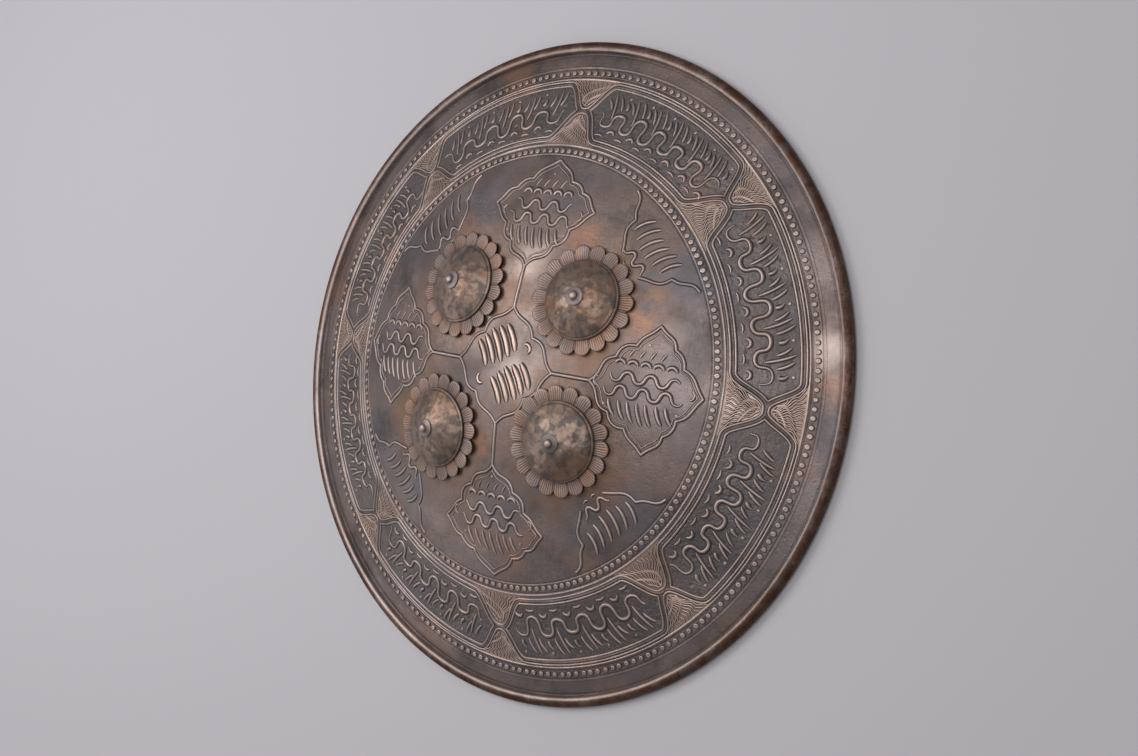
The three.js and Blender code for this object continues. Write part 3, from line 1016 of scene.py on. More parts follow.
def lines_wire(name, paths):
    """One wire of many paths. A path is (plan points, half widths, closed), in mm."""
    points = []
    edges = []
    widths = []
    for path, half_widths, closed in paths:
        first = len(points)
        points += [(x * MM, y * MM, 0.0) for x, y in path]
        edges += [(i, i + 1) for i in range(first, len(points) - 1)]
        if closed:
            edges.append((len(points) - 1, first))
        widths += [half_width * MM for half_width in half_widths]
    return small_mesh(name, points, edges, half_width=widths)


def even(path, half_width, closed):
    return path, [half_width] * len(path), closed


def raise_lines(name, paths, rise, material=line_material, section=line_section, base=0.0):
    """The mesh of raised lines along some paths."""
    sizes = {"section": section, "rise": rise, "base": base, "material": material}
    return grow(name, raised_lines, lines_wire(f"{name}_courses", paths), **sizes)


# %% [markdown]
# Now the straps themselves. Each panel has a closed line round it with a sharp tip at
# both ends. Outside the panels runs one wavy line on each side of the band. Between the
# panels' lines and the wavy lines lies a narrow dark channel, a flat ribbon here.

# %% Straps
STRAP_LINE_HALF = 0.72
CHANNEL_HALF = 1.1
CHANNEL_BASE = 0.03
CHANNEL_STEPS = 720
OUTER_STRAP = (STRAP_OUTER, OUTER_BEND)
INNER_STRAP = (STRAP_INNER, INNER_BEND)


def channel_course(level, bend):
    angles = [360 * i / CHANNEL_STEPS for i in range(CHANNEL_STEPS)]
    return [Vector(polar(strap_radius(angle, level, bend), angle)) for angle in angles]


strap_paths = [even(panel_outline(panel), STRAP_LINE_HALF, True) for panel in range(PANELS)]
for strap, side in ((OUTER_STRAP, 1), (INNER_STRAP, -1)):
    strap_paths.append(even(strap_edge(*strap, side, 0, 360, 0.4)[:-1], STRAP_LINE_HALF, True))
strap_lines = raise_lines("strap_lines", strap_paths, 0.9)
channel_paths = [
    even(channel_course(*strap), CHANNEL_HALF, True) for strap in (OUTER_STRAP, INNER_STRAP)
]
strap_channels = raise_lines(
    "strap_channels", channel_paths, 0.05, section=ribbon_section, base=CHANNEL_BASE * MM
)

# %% [markdown]
# The spandrels are filled with fine waved lines that fan out from the neck at the
# crossing, like combed hair. They are drawn for one spandrel from the neck outwards, cut
# off where they would meet the strap, and then repeated.

# %% Hatching of the spandrels
HATCH_HALF = 0.46
HATCH_LINES = 6
HATCH_CLEAR = 1.6
HATCH_STEPS = 20
HATCH_NECK = 0.3
HATCH_FAN = 3.0
HATCH_FAN_BEND = 1.3
HATCH_WAVE = 0.9
HATCH_WAVE_RATE = 16
HATCH_WAVE_SHIFT = 0.9
HATCH_LATE = 0.12
OUTER_SPANDREL = (183.0, 201.4)
INNER_SPANDREL = (175.8, 155.6)
HALVINGS = 24


def spandrel_half(r):
    """Half the width of a spandrel at a radius, in mm along the arc, found by halving."""
    level, bend = OUTER_STRAP if r > STRAP_CROSSING else INNER_STRAP
    share = (abs(r - STRAP_CROSSING) - STRAP_HALF) / abs(level - STRAP_CROSSING)
    low, high = 0.0, 1.0
    for _ in range(HALVINGS):
        middle = (low + high) / 2
        if eased(middle) < share:
            low = middle
        else:
            high = middle
    return math.radians(low * bend) * r


def spandrel_hatch(neck, end):
    """Lines of one spandrel as (along the arc, radius), from the neck to its wide end."""
    lines = []
    for number in range(-HATCH_LINES, HATCH_LINES + 1):
        line = []
        for step in range(HATCH_STEPS + 1):
            t = step / HATCH_STEPS
            r = neck + (end - neck) * t
            spread = number * (HATCH_NECK + HATCH_FAN * t**HATCH_FAN_BEND)
            waved = math.sin(HATCH_WAVE_RATE * t + HATCH_WAVE_SHIFT * number)
            along = spread + HATCH_WAVE * waved
            started = t >= HATCH_LATE * (number % 2)
            if started and abs(along) < spandrel_half(r) - HATCH_CLEAR:
                line.append((along, r))
        if len(line) > 3:
            lines.append(line)
    return lines


def on_crossing(crossing, line):
    turned = math.radians(crossing * PITCH)
    course = [(r, turned + along / r) for along, r in line]
    return [(r * math.cos(angle), r * math.sin(angle)) for r, angle in course]


hatch_lines = spandrel_hatch(*OUTER_SPANDREL) + spandrel_hatch(*INNER_SPANDREL)
hatch_paths = [
    even(on_crossing(crossing, line), HATCH_HALF, False)
    for crossing in range(PANELS)
    for line in hatch_lines
]
hatching = raise_lines("spandrel_hatching", hatch_paths, 0.8, hatch_material)

# %% [markdown]
# Pearls are small studs with a dimple. One of them is a mesh of a few dozen faces, and a
# tree puts it on every point of a ring, at the point's own size, before all of them are
# laid on the face. The stud's rings are given as (radius, height, crest).

# %% Tree: studs
PEARL_RINGS = [
    (1.00, -0.30, 0.1),
    (1.00, 0.10, 0.3),
    (0.78, 0.34, 0.9),
    (0.46, 0.40, 1.0),
    (0.22, 0.35, 0.85),
]
DIMPLE_HEIGHT = 0.33
DIMPLE_CREST = 0.7
PEARL_SIDES = 8


def pearl_mesh():
    points = []
    crest = []
    for radius, height, level in PEARL_RINGS:
        for side in range(PEARL_SIDES):
            angle = math.tau * side / PEARL_SIDES
            points.append((radius * math.cos(angle), radius * math.sin(angle), height))
            crest.append(level)
    points.append((0.0, 0.0, DIMPLE_HEIGHT))
    crest.append(DIMPLE_CREST)
    faces = [tuple(reversed(range(PEARL_SIDES)))]
    last = (len(PEARL_RINGS) - 1) * PEARL_SIDES
    for ring in range(0, last + 1, PEARL_SIDES):
        for side in range(PEARL_SIDES):
            a = ring + side
            b = ring + (side + 1) % PEARL_SIDES
            above = (b + PEARL_SIDES, a + PEARL_SIDES) if ring < last else (len(points) - 1,)
            faces.append((a, b, *above))
    return small_mesh("pearl", points, faces=faces, crest=crest)


def make_studs():
    tree, given, out = start_tree("studs", stud="object")
    stud = add(tree, "GeometryNodeObjectInfo", {"Object": given["Stud"]}).outputs["Geometry"]
    placed = repeat(tree, given["Geometry"], stud, Scale=number_of(tree, "size"))
    finish_tree(tree, lay(tree, placed, place_of(tree)), given["Material"], out)
    return tree


studs = make_studs()
pearl = stand("pearl", pearl_mesh())
helpers.append(pearl)
print("faces of a pearl:", len(pearl.data.polygons))


def place_studs(name, spots):
    """Studs on the face. A spot is (x, y, radius) in millimetres."""
    points = [(x * MM, y * MM, 0.0) for x, y, _ in spots]
    sizes = [radius * MM for _, _, radius in spots]
    places = small_mesh(f"{name}_places", points, size=sizes)
    return grow(name, studs, places, stud=pearl, material=line_material)


# %% [markdown]
# The two rows of pearls were punched by eye, so their spacing and size vary a little.

# %% Pearl rows
PEARL_ROWS = [(207.5, 218), (149.3, 175)]
PEARL_RADIUS = 2.05


def pearl_spots():
    pick = random.Random(7)
    spots = []
    for r, count in PEARL_ROWS:
        for number in range(count):
            angle = 360 * (number + pick.uniform(-0.07, 0.07)) / count
            x, y = polar(r + pick.uniform(-0.15, 0.15), angle)
            spots.append((x, y, PEARL_RADIUS * pick.uniform(0.9, 1.06)))
    return spots


pearls = place_studs("pearl_rows", pearl_spots())

# %% [markdown]
# The field inside the band carries a pointed centre cartouche, four lobed ones round it
# and four half ones against the inner ring. Their outlines run from corner to corner, and
# each side is bowed and swayed a little. A quarter or a half is drawn, and turned or
# mirrored for the rest. A thinner line runs inside each lobed outline, and a straight one
# links it to the centre.

# %% Outlines of the cartouches
CENTRE_REACH = 39.5
LOBED_FOOT = 67.4
OUTLINE_HALF = 0.85
OUTLINE_STEP = 1.2
LINK_HALF = 1.0
LINK_STEPS = 12
BELLY = 108.0
INNER_SHARE = 0.9
INNER_HALF = 0.4
CENTRE_SIDES = [(20, 20.7, 1.7, -1.4), (CENTRE_REACH, 0, 2.4, 1.8)]
LOBED_START = (0, 142.6)
LOBED_SIDES = [
    (16.6, 128.1, 1.7, -0.7),
    (27.9, 120.9, 2.1, 0),
    (41.7, 108.7, 1.6, 0.8),
    (27, 95.6, 0.7, -0.6),
    (18.1, 83.4, 3.4, 0),
    (0, LOBED_FOOT, 1.3, 1.7),
]
HALF_START = (42.6, 137.2)
HALF_SIDES = [(25, 127.5, -1.1, -1.1), (10.6, 110.4, 2.9, 0.9)]


def cornered(start, sides):
    """An outline from corner to corner. A side is (end u, end v, bulge, sway)."""
    path = [start]
    from_u, from_v = start
    for to_u, to_v, bulge, sway in sides:
        length = math.hypot(to_u - from_u, to_v - from_v)
        along_u = (to_u - from_u) / length
        along_v = (to_v - from_v) / length
        steps = max(round(length / OUTLINE_STEP), 2)
        for step in range(1, steps + 1):
            t = step / steps
            out = bulge * 4 * t * (1 - t) + sway * math.sin(math.tau * t)
            u = from_u + (to_u - from_u) * t - along_v * out
            v = from_v + (to_v - from_v) * t + along_u * out
            path.append((u, v))
        from_u, from_v = to_u, to_v
    return path


def mirrored(path):
    return [(-u, v) for u, v in reversed(path)]


def turned_to(path, degrees):
    """Places a path drawn with v away from the centre and u to its right."""
    c = math.cos(math.radians(degrees))
    s = math.sin(math.radians(degrees))
    return [(v * c + u * s, v * s - u * c) for u, v in path]


def cartouche_paths():
    quarter = cornered((0, CENTRE_REACH), CENTRE_SIDES)[:-1]
    centre = [point for turn in (90, 0, -90, 180) for point in turned_to(quarter, turn)]
    right = cornered(LOBED_START, LOBED_SIDES)
    lobed = right + mirrored(right)[1:-1]
    inner = [(INNER_SHARE * u, BELLY + INNER_SHARE * (v - BELLY)) for u, v in lobed]
    gap = LOBED_FOOT - CENTRE_REACH
    link = [(0, CENTRE_REACH + i * gap / LINK_STEPS) for i in range(LINK_STEPS + 1)]
    half = cornered(HALF_START, HALF_SIDES)
    paths = [even(centre, OUTLINE_HALF, True)]
    for turn in range(0, 360, 90):
        paths.append(even(turned_to(lobed, turn), OUTLINE_HALF, True))
        paths.append(even(turned_to(inner, turn), INNER_HALF, True))
        paths.append(even(turned_to(link, turn), LINK_HALF, False))
        for path in (half, mirrored(half)):
            paths.append(even(turned_to(path, turn + 45), OUTLINE_HALF, False))
    return paths


outlines = raise_lines("cartouche_outlines", cartouche_paths(), 0.9)

# %% [markdown]
# The panels and cartouches are filled with plain strokes: leaning bars, waves, crescents,
# drops and short dashes. Each is a path in the filled field's own coordinates, in
# millimetres, with a half width that tapers towards its ends. Each function below makes
# one kind of stroke, as its path and its half widths.

# %% Kinds of strokes
STROKE_STEP = 1.0
TAPER = 0.18


def tapered(path, half_width):
    """A path that narrows to half its width at both ends."""
    count = len(path) - 1
    nearer_end = [min(i, count - i) / max(count, 1) for i in range(len(path))]
    return path, [half_width * (0.5 + 0.5 * min(t / TAPER, 1.0)) for t in nearer_end]


def between(start, end):
    """A start, the way from there to an end, and the direction across that way."""
    along = Vector(end) - Vector(start)
    return Vector(start), along, Vector((-along.y, along.x)).normalized()


def shares(steps):
    return [i / steps for i in range(steps + 1)]


def wave(start, end, swing, turns, half_width, phase=0.0, uneven=0.0):
    """A flowing line from one point to another that swings to both sides."""
    start, along, across = between(start, end)
    path = []
    for t in shares(max(int(along.length * (1 + 0.5 * turns) / STROKE_STEP), 6)):
        turn = math.tau * (turns * t + phase)
        own_swing = swing * (1 + uneven * math.sin(1.7 * math.tau * t + 9 * phase))
        back = 0.05 * swing * math.sin(2 * turn) * turns
        path.append(start + along * t + across * own_swing * math.sin(turn) - along.normalized() * back)
    return tapered(path, half_width)


def bar(start, end, bow, half_width):
    """A straight stroke, or a slightly bowed one."""
    start, along, across = between(start, end)
    steps = max(int(along.length / (2 * STROKE_STEP)), 3)
    path = [start + along * t + across * bow * 4 * t * (1 - t) for t in shares(steps)]
    return tapered(path, half_width)


def drop(start, end, half_width):
    """A short stroke, thick at its start, that runs out to a point."""
    start, along, across = between(start, end)
    path = [start + along * t + across * 0.9 * math.sin(math.pi * t) for t in shares(8)]
    widths = [0.25 + 1.6 * t * (1 - t) ** 1.5 + 0.3 * (1 - t) for t in shares(8)]
    return path, [half_width * width for width in widths]


def crescent(centre, radius, start, sweep, half_width):
    """Part of a circle, with angles in degrees."""
    steps = max(int(math.radians(abs(sweep)) * radius / STROKE_STEP), 5)
    path = [Vector(centre) + Vector(polar(radius, start + sweep * t)) for t in shares(steps)]
    return tapered(path, half_width)


print("points of a half circle 4 mm in radius:", len(crescent((0, 0), 4, 0, 180, 1)[0]))

# %% [markdown]
# A panel's strokes lie in rows. A ripple runs along its middle. Above each of its hollows
# stand three leaning bars, the middle one the longest, above each crest lies a drop under
# a dot, and below the ripple runs a row of small arcs and dashes. A seeded choice of the
# ripple's length, swing and start, and of the lean, keeps the eight panels alike without
# being copies. All heights are outwards from the middle of the band, and each bar is given
# as (place beside the hollow, foot, how much lower its top is).

# %% Strokes of the panels
BAND_MIDDLE = 178.8
RIPPLE_STROKE = 1.1
PANEL_STROKE = 0.95
SMALL_STROKE = 0.7
ARC_RADIUS = 3.2
RIPPLE_END = 55.0
RIPPLE_MIDDLE = -3.5
BARS_TOP = 15.0
BARS = ((-4.2, 4.5, 0), (0, -2.5, 0), (4.2, 4.5, 2.5))
BARS_REACH = 50
ARCS_REACH = 54
ARCS_HEIGHT = -13.5
DASH_HEIGHT = -15
DASH_HALF = 3.5
DROP_FOOT = 6
DROP_TOP = 11.5
DROP_HALF = 1.7
DOT_HEIGHT = 14.4
DOT_RADIUS = 1.2


def level(middle, half, height):
    """The two ends of a level stroke."""
    return (middle - half, height), (middle + half, height)


def leaning_bars(hollow, lean, pick):
    strokes = []
    for aside, foot, lower in BARS:
        start = (hollow + aside - lean / 2, foot)
        end = (hollow + aside + lean / 2, BARS_TOP - lower + pick.uniform(-1, 1))
        strokes.append(bar(start, end, 0.7, PANEL_STROKE))
    return strokes


def panel_strokes(seed):
    """Strokes of one panel, as (along the band, outwards) from its middle, and its dots."""
    pick = random.Random(seed)
    length = pick.uniform(17.5, 22.5)
    swing = pick.uniform(4.8, 6.0)
    lean = pick.uniform(3, 6) * pick.choice((-1, 1))
    phase = pick.random()
    turns = 2 * RIPPLE_END / length
    ends = level(0, RIPPLE_END, RIPPLE_MIDDLE)
    strokes = [wave(*ends, swing, turns, RIPPLE_STROKE, phase, 0.2)]
    dots = []
    for number in range(-1, int(turns) + 1):
        crest = -RIPPLE_END + (number + 0.25 - phase) * length
        hollow = crest + length / 2
        if abs(hollow) < BARS_REACH:
            strokes += leaning_bars(hollow, lean, pick)
            strokes.append(bar(*level(hollow, DASH_HALF, DASH_HEIGHT), 0.8, SMALL_STROKE))
        if abs(crest) < ARCS_REACH:
            strokes.append(crescent((crest, ARCS_HEIGHT), ARC_RADIUS, 15, 150, PANEL_STROKE))
            ends = ((crest - lean / 4, DROP_FOOT), (crest + lean / 4, DROP_TOP))
            strokes.append(drop(*ends, DROP_HALF))
            dots.append((crest, DOT_HEIGHT, DOT_RADIUS))
    return strokes, dots


def on_panel(panel, point):
    """Plan place of (along the band, outwards) in a panel."""
    angle = math.radians((panel + 0.5) * PITCH) + point[0] / BAND_MIDDLE
    r = BAND_MIDDLE + point[1]
    return (r * math.cos(angle), r * math.sin(angle))


panel_paths = []
dot_spots = []
for panel in range(PANELS):
    strokes, dots = panel_strokes(panel)
    for path, widths in strokes:
        panel_paths.append(([on_panel(panel, point) for point in path], widths, False))
    dot_spots += [(*on_panel(panel, (along, out)), radius) for along, out, radius in dots]
panel_lines = raise_lines("panel_strokes", panel_paths, 0.85)

# %% [markdown]
# The lobed cartouches are filled in the same way: leaning bars at the foot, then two
# ripples, a row of arcs and a row of short dashes. These strokes all stand upright, with
# the shield's +Y edge at the top, so they aren't turned with their cartouche.

# %% Strokes of the lobed cartouches
CARTOUCHE_MIDDLE = 104.0
CARTOUCHE_STROKE = 1.05
LOBED_BARS = 7
LOBED_BARS_START = -18.5
LOBED_BARS_PITCH = 6.2
LOBED_BARS_FOOT = -24
LOBED_BARS_TOP = -9.5
LOBED_LEAN = 2.5
LOBED_RIPPLES = [(26, -3.5, 3.4, 3.5), (23, 6, 3.2, 3.0)]
LOBED_ARCS = (-17, -8.5, 0, 8.5, 17)
LOBED_ARCS_HEIGHT = 13.5
LOBED_DASHES = (-10.5, -3.5, 3.5, 10.5)
LOBED_DASHES_FOOT = 19
LOBED_DASHES_TOP = 24.5
LOBED_SIDE_ARCS = [((30, 1), -80), ((-30, 1), 100)]
LOBED_DOTS = [(-24, -13), (24, -13), (0, 28.5)]
LOBED_DOT_RADIUS = 1.1


def lobed_strokes(seed):
    pick = random.Random(seed)
    strokes = []
    for number in range(LOBED_BARS):
        middle = LOBED_BARS_START + LOBED_BARS_PITCH * number + pick.uniform(-0.5, 0.5)
        foot = LOBED_BARS_FOOT + 1.3 * abs(number - 3) + pick.uniform(-0.5, 0.5)
        ends = ((middle + LOBED_LEAN, foot), (middle - LOBED_LEAN, LOBED_BARS_TOP))
        strokes.append(bar(*ends, 0.9, CARTOUCHE_STROKE))
    phase = pick.random()
    for half, height, swing, turns in LOBED_RIPPLES:
        ends = level(0, half, height)
        strokes.append(wave(*ends, swing, turns, CARTOUCHE_STROKE, phase))
    for along in LOBED_ARCS:
        middle = (along, LOBED_ARCS_HEIGHT)
        strokes.append(crescent(middle, ARC_RADIUS, 5, 170, CARTOUCHE_STROKE))
    for middle in LOBED_DASHES:
        ends = ((middle - 1.5, LOBED_DASHES_FOOT), (middle + 1.5, LOBED_DASHES_TOP))
        strokes.append(bar(*ends, 0.4, SMALL_STROKE))
    for middle, start in LOBED_SIDE_ARCS:
        strokes.append(crescent(middle, ARC_RADIUS, start, 160, SMALL_STROKE))
    return strokes


print("strokes of a lobed cartouche:", len(lobed_strokes(0)))

# %% [markdown]
# The half cartouches hold one row of bowed bars over a short ripple and two dashes. They
# are turned with their cartouche, so that the bars point outwards.

# %% Strokes of the half cartouches
HALF_MIDDLE = 124.0
HALF_BARS = 6
HALF_BARS_START = -18
HALF_BARS_PITCH = 7.2
HALF_BARS_FOOT = -5
HALF_BARS_TOP = 13
HALF_RIPPLE_STROKE = 0.95
HALF_RIPPLE_HEIGHT = -10
HALF_DASHES = (-3.5, 3.5)
HALF_DASHES_HEIGHT = -16


def half_strokes(seed):
    pick = random.Random(seed)
    strokes = []
    for number in range(HALF_BARS):
        middle = HALF_BARS_START + HALF_BARS_PITCH * number
        foot = HALF_BARS_FOOT + 1.8 * abs(number - 2.5)
        top = HALF_BARS_TOP + pick.uniform(-1, 1)
        strokes.append(bar((middle - 1.5, foot), (middle + 2.5, top), 1.6, CARTOUCHE_STROKE))
    ends = level(0, 11, HALF_RIPPLE_HEIGHT)
    strokes.append(wave(*ends, 2.6, 2.0, HALF_RIPPLE_STROKE, pick.random()))
    for middle in HALF_DASHES:
        strokes.append(bar(*level(middle, 2, HALF_DASHES_HEIGHT), -0.7, SMALL_STROKE))
    return strokes


cartouche_courses = []
for turn in range(0, 360, 90):
    middle = Vector(polar(CARTOUCHE_MIDDLE, turn))
    for path, widths in lobed_strokes(turn + 1):
        cartouche_courses.append(([middle + point for point in path], widths, False))
    for place in LOBED_DOTS:
        dot_spots.append((*(middle + Vector(place)), LOBED_DOT_RADIUS))
    middle = Vector(polar(HALF_MIDDLE, turn + 45))
    outwards = Matrix.Rotation(math.radians(turn + 45 - 90), 2)
    for path, widths in half_strokes(turn + 2):
        course = [middle + outwards @ point for point in path]
        cartouche_courses.append((course, widths, False))
cartouche_lines = raise_lines("cartouche_strokes", cartouche_courses, 0.85)

# %% [markdown]
# The centre cartouche has the boldest strokes, rubbed bright with a pink tone: two rows of
# long parallel bars with an arc at either side. A row is (start, end, where its bars are),
# measured along the bars and across them. Then the small dots of the panels and of the
# lobed cartouches are set, with the same tree as the pearls.

# %% Strokes of the centre, and the dots
CENTRE_STROKE = 1.7
CENTRE_ARC_STROKE = 1.0
CENTRE_ARC_RADIUS = 3.4
CENTRE_ALONG = Vector((0.5, -0.866))
CENTRE_ACROSS = Vector((0.866, 0.5))
CENTRE_ROWS = [(-27, -2.5, (-14, -7.5, -1, 5.5, 12)), (1.5, 26, (-12, -5.5, 1, 7.5, 14))]
CENTRE_ARCS = [((1, -20.5), 120), ((-3, 20.5), -60)]


def centre_strokes():
    strokes = []
    for start, end, offsets in CENTRE_ROWS:
        for offset in offsets:
            lift = 0.2 * abs(offset)
            middle = CENTRE_ACROSS * offset
            ends = (middle + CENTRE_ALONG * (start + lift), middle + CENTRE_ALONG * (end - lift))
            strokes.append(bar(*ends, 1.3, CENTRE_STROKE))
    for (along, across), start in CENTRE_ARCS:
        middle = CENTRE_ALONG * along + CENTRE_ACROSS * across
        strokes.append(crescent(middle, CENTRE_ARC_RADIUS, start, 180, CENTRE_ARC_STROKE))
    return strokes


centre_courses = [(path, widths, False) for path, widths in centre_strokes()]
centre_lines = raise_lines("centre_strokes", centre_courses, 0.7, centre_material)
dots = place_studs("dots", dot_spots)

# %% [markdown]
# Each boss stands on a washer with eighteen petals. A petal is a bit of disc with a round
# end, a rounded edge and fine lines scored towards its tip. One petal's sector is made
# here as a closed strip of mesh, and a tree repeats it round the axis and welds the
# sectors to one another.

# %% Petal washers
TOUCH_GAP = 0.3
WASHER_TOP = 1.5
PETALS = 18
PETAL_CENTRE = 31.8
PETAL_RADIUS = 5.6
PETAL_COLUMNS = 28
PETAL_START = 27
HOLE_RADIUS = 1.85
SCORE_DEPTH = 0.22
SEAM_DEPTH = 0.45
SEAM_SHARPNESS = 10
WASHER_INSIDE = ((HOLE_RADIUS, 0.3), (26.6, 0.1))
PETAL_ROWS = ((0.1, 0.0, 0.4), (0.4, 0, 0.6), (0.7, 0, 0.7), (0.9, 0.12, 0.9))
PETAL_EDGE = ((-0.1, WASHER_TOP - 0.45, 0.6), (0, WASHER_TOP - 0.8, 0.2), (-0.15, TOUCH_GAP, 0.1))


def petal_reach(angle):
    """Radius of the petal's outline at an angle from its middle, in radians."""
    across = PETAL_CENTRE * math.sin(angle)
    return PETAL_CENTRE * math.cos(angle) + math.sqrt(PETAL_RADIUS**2 - across**2)


def petal_strip(column):
    """One closed radial cut through the washer, as (angle, radius, height, crest)."""
    share = 2 * column / PETAL_COLUMNS - 1
    angle = math.pi / PETALS * share
    reach = petal_reach(angle)
    line = 0.5 + 0.5 * math.cos(math.pi * column / 2)
    seam = abs(share) ** SEAM_SHARPNESS
    strip = [(angle, r, WASHER_TOP, crest) for r, crest in WASHER_INSIDE]
    for t, fall, crest in PETAL_ROWS:
        r = PETAL_START + (reach - PETAL_START) * t
        height = WASHER_TOP - fall - SCORE_DEPTH * (1 - line) - SEAM_DEPTH * seam
        strip.append((angle, r, height, max(crest - 0.35 + 0.7 * line - 0.6 * seam, 0.0)))
    strip += [(angle, reach + out, height, crest) for out, height, crest in PETAL_EDGE]
    strip.append((angle, HOLE_RADIUS, TOUCH_GAP, 0.1))
    return strip


def petal_sector():
    strips = [petal_strip(column) for column in range(PETAL_COLUMNS + 1)]
    rows = len(strips[0])
    points = []
    crest = []
    for angle, r, height, shade in [station for strip in strips for station in strip]:
        points.append((r * math.cos(angle) * MM, r * math.sin(angle) * MM, height * MM))
        crest.append(shade)
    faces = []
    for column in range(0, PETAL_COLUMNS * rows, rows):
        for row in range(rows):
            a = column + row
            b = column + (row + 1) % rows
            faces.append((a, b, b + rows, a + rows))
    return small_mesh("petal_sector", points, faces=faces, crest=crest)


def make_petal_ring():
    tree, given, out = start_tree("petal_ring", petals=18)
    points = add(tree, "GeometryNodePoints", {"Count": given["Petals"]}).outputs[0]
    index = add(tree, "GeometryNodeInputIndex").outputs[0]
    angle = times(tree, index, over(tree, math.tau, given["Petals"]))
    ring = repeat(tree, points, given["Geometry"], Rotation=joined(tree, 0.0, 0.0, angle))
    finish_tree(tree, weld(tree, ring), given["Material"], out)
    return tree


def boss_frame(distance, degrees):
    """Place of a boss: the point under it on the face, with +Z along the face's normal."""
    x, y = polar(distance, degrees)
    here = Matrix.Translation(Vector((x, y, float(face_height(distance)))) * MM)
    turn = Matrix.Rotation(math.radians(degrees), 4, "Z")
    tilt = Matrix.Rotation(math.asin(distance / DOME_RADIUS), 4, "Y")
    return here @ turn @ tilt


petal_ring = make_petal_ring()
boss_frames = {quarter: boss_frame(distance, degrees) for quarter, distance, degrees in BOSSES}
washers = {}
for quarter, frame_of_boss in boss_frames.items():
    made = grow(
        f"washer_{quarter}", petal_ring, petal_sector(), petals=PETALS, material=washer_material
    )
    made.data.transform(frame_of_boss)
    washers[quarter] = made

# %% [markdown]
# A boss is a hollow dome, beaten out by hand, so its surface is full of shallow dents
# that catch the light. Its foot has a thin bright bead. The same tree that turned the
# plate turns it, without the laying on the face but with dents. For the blotches of its
# material each point keeps a place of its own, in which a step outwards counts less than a
# step round, so that the blotches are drawn outwards.

# %% Bosses
BOSS_FOOT = 1.8
BOSS_RADIUS = 27.2
BOSS_HEIGHT = 11.6
BOSS_EDGE = 0.8
BOSS_WALL = 1.3
BOSS_CURVE = 1.6
BOSS_COLUMNS = 120
DENT_DEPTH = 1.3 * MM
DENT_SIZE = 6.0 * MM
DENT_STEP = 0.75
BEAD_START = 25.6
BEAD = [(BEAD_START, -0.15, 0.15), (26.2, 0.0, 0.6), (26.8, 0.05, 0.8)]
BOSS_LIP = [(BOSS_RADIUS, 0.55, 0.3), (BOSS_RADIUS, 0.0, 0.1), (BOSS_RADIUS - BOSS_WALL, 0.0, 0.3)]
BOSS_INSIDE = (23, 16, 8.5, HOLE_RADIUS)
GRAIN_ROUND = 24.0 * MM
GRAIN_OUT = 0.6


def boss_rise(r):
    return BOSS_EDGE + (BOSS_HEIGHT - BOSS_EDGE) * (1 - (r / BOSS_RADIUS) ** BOSS_CURVE)


def boss_stations():
    """The dome from its hole outwards, its bead and lip, and back inside it."""
    stations = [(HOLE_RADIUS, boss_rise(HOLE_RADIUS), 0.2, 0.0)]
    for r in np.arange(3.0, BEAD_START, DENT_STEP):
        dented = min((r - 2) / 3, (BEAD_START - r) / 2 + 0.3, 1)
        stations.append((r, boss_rise(r), 0.5, dented))
    stations += [(r, boss_rise(r) + lift, crest, 0.0) for r, lift, crest in BEAD]
    stations += [(r, z, crest, 0.0) for r, z, crest in BOSS_LIP]
    stations += [(r, boss_rise(r) - BOSS_WALL, 0.3, 0.0) for r in BOSS_INSIDE]
    stations.append(stations[0])
    return [(r, z + BOSS_FOOT, crest, dented) for r, z, crest, dented in reversed(stations)]


def store_grain(mesh, shift):
    """Keeps a place for every point in which a step outwards counts less than one round."""
    x, y, _ = places_of(mesh)
    r = np.maximum(np.hypot(x, y), WELD)
    spread = GRAIN_ROUND * (r / (BOSS_RADIUS * MM)) ** 0.6
    grain = np.stack((spread * x / r, spread * y / r, GRAIN_OUT * r + shift), 1)
    kept = mesh.attributes.new("grain", "FLOAT_VECTOR", "POINT")
    kept.data.foreach_set("vector", grain.ravel())


bosses = {}
for number, (quarter, frame_of_boss) in enumerate(boss_frames.items()):
    made = grow(
        f"dome_{quarter}",
        turned_piece,
        profile_wire("boss_profile", boss_stations()),
        columns=BOSS_COLUMNS,
        dent_depth=DENT_DEPTH,
        dent_size=DENT_SIZE,
        seed=0.1 * number + 0.05,
        material=boss_material,
    )
    store_grain(made.data, 0.1 * number)
    made.data.transform(frame_of_boss)
    bosses[quarter] = made

# %% [markdown]
# A rivet holds each boss: outside, a flared collar with a bright nipple; inside, a
# clenched button. It is the brightest thing on the shield, because hands and cloth have
# polished it most. Its profile is given as (radius, height, crest).

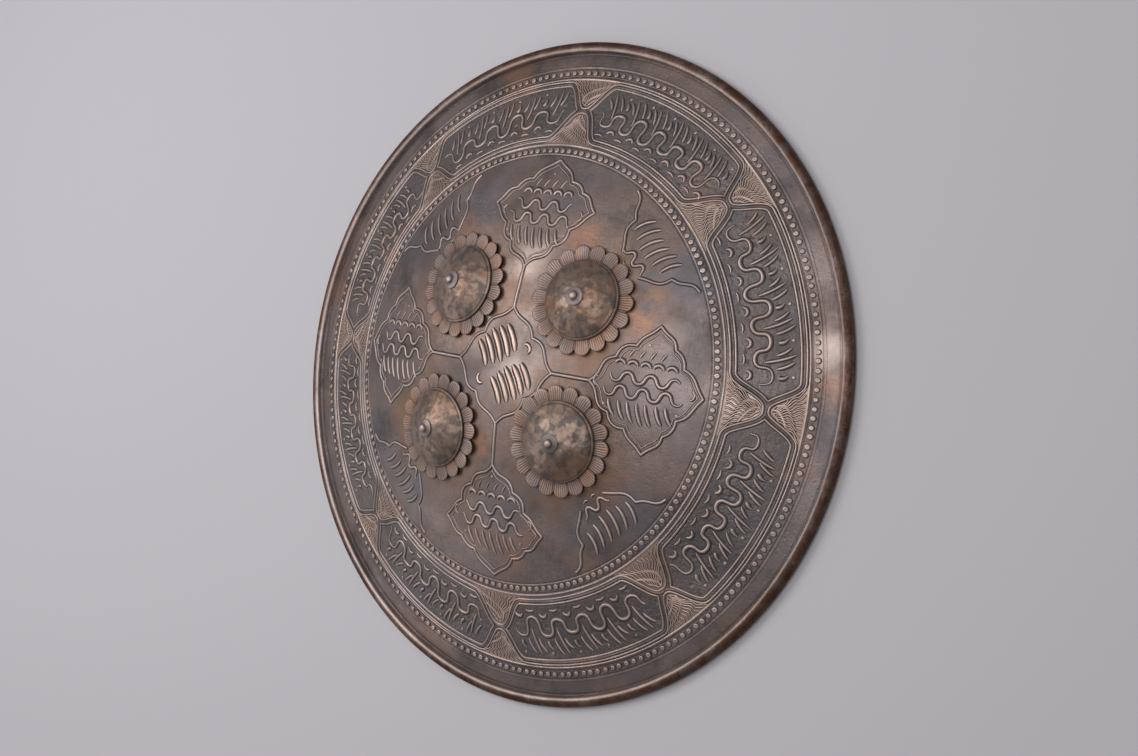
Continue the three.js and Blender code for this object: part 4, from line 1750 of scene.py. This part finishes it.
# %% Rivets
RIVET_COLUMNS = 28
RIVET_STATIONS = [
    (0.0, -3.70, 0.5),
    (1.8, -3.65, 0.5),
    (3.2, -3.40, 0.6),
    (4.0, -3.00, 0.7),
    (4.2, -2.60, 0.6),
    (4.1, -2.10, 0.2),
    (1.5, -2.10, 0.1),
    (1.5, 13.70, 0.1),
    (6.2, 12.75, 0.1),
    (6.4, 12.95, 0.5),
    (6.2, 13.15, 0.7),
    (5.2, 13.42, 0.65),
    (4.0, 13.68, 0.6),
    (2.9, 13.95, 0.35),
    (2.5, 14.30, 0.4),
    (2.5, 14.80, 0.8),
    (2.3, 15.50, 1.0),
    (1.8, 16.05, 1.0),
    (1.0, 16.40, 1.0),
    (0.0, 16.50, 1.0),
]
rivets = {}
for quarter, frame_of_boss in boss_frames.items():
    stations = [(*station, 0.0) for station in RIVET_STATIONS]
    made = grow(
        f"pin_{quarter}",
        turned_piece,
        profile_wire("rivet_profile", stations),
        columns=RIVET_COLUMNS,
        material=rivet_material,
    )
    made.data.transform(frame_of_boss)
    rivets[quarter] = made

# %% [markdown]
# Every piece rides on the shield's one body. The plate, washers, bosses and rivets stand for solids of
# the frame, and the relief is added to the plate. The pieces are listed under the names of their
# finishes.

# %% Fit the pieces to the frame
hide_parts("shield_bowl")
for quarter in washers:
    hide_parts(f"petal_washer_{quarter}")
    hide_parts(f"boss_{quarter}")
    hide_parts(f"rivet_{quarter}")

lines = [strap_lines, strap_channels, hatching, outlines, panel_lines, cartouche_lines]
slots = {
    "plate_steel": [plate, *lines, centre_lines, pearls, dots],
    "washer_steel": washers.values(),
    "boss_steel": bosses.values(),
    "rivet_steel": rivets.values(),
}
for slot, made_of_it in slots.items():
    for piece in made_of_it:
        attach(piece, "root")
for helper in helpers:
    bpy.data.objects.remove(helper)
print("pieces:", sum(len(made_of_it) for made_of_it in slots.values()))

# %% [markdown]
# The shield lies on a pale floor under soft studio light. The key lamp stands beyond the
# edge that is farthest from the camera, where the plate mirrors it, and gives the broad
# sheen. A second lamp hangs almost overhead for the bosses, a third stands beyond the +Y
# edge, a low fourth fills the shadows, and a dim grey surrounding does the rest. Each lamp
# is given by its direction from the shield, its distance, its side and its power.

# %% Floor and light
FLOOR_HALF = 2.5
FLOOR_COLOUR = rgb(0.56, 0.54, 0.57)
LAMPS = {
    "key": ((-0.56, 0.13, 0.81), 1.3, 0.7, 6.3),
    "overhead": ((0.24, 0.1, 0.97), 1.6, 0.9, 8),
    "far": ((-0.1, 0.55, 0.83), 1.9, 1.0, 3),
    "fill": ((-0.8, -0.5, 0.45), 1.7, 0.8, 2.8),
}
SURROUNDINGS = 0.2


def make_floor():
    corners = [(-1, -1), (1, -1), (1, 1), (-1, 1)]
    points = [(x * FLOOR_HALF, y * FLOOR_HALF, 0.0) for x, y in corners]
    mesh = small_mesh("floor", points, faces=[(0, 1, 2, 3)])
    material, _, shader, _ = new_material("pale_floor")
    shader["Base Color"].default_value = FLOOR_COLOUR
    shader["Roughness"].default_value = 0.9
    mesh.materials.append(material)
    return stand("floor", mesh)


def area_light(name, toward, distance, side, power):
    """A square lamp in a direction from the shield, facing it."""
    data = bpy.data.lights.new(name, "AREA")
    data.size = side
    data.energy = power
    lamp = stand(name, data)
    direction = Vector(toward).normalized()
    lamp.location = direction * distance
    lamp.rotation_euler = direction.to_track_quat("Z", "Y").to_euler()


def make_surroundings():
    world = bpy.data.worlds.new("surroundings")
    world.use_nodes = True
    shade = world.node_tree.nodes["Background"].inputs
    shade["Color"].default_value = rgb(1.0, 0.98, 1.0)
    shade["Strength"].default_value = SURROUNDINGS
    bpy.context.scene.world = world


make_floor()
for name, lamp in LAMPS.items():
    area_light(name, *lamp)
make_surroundings()
bpy.context.scene.view_settings.view_transform = "Standard"
print("lamps:", ", ".join(LAMPS))
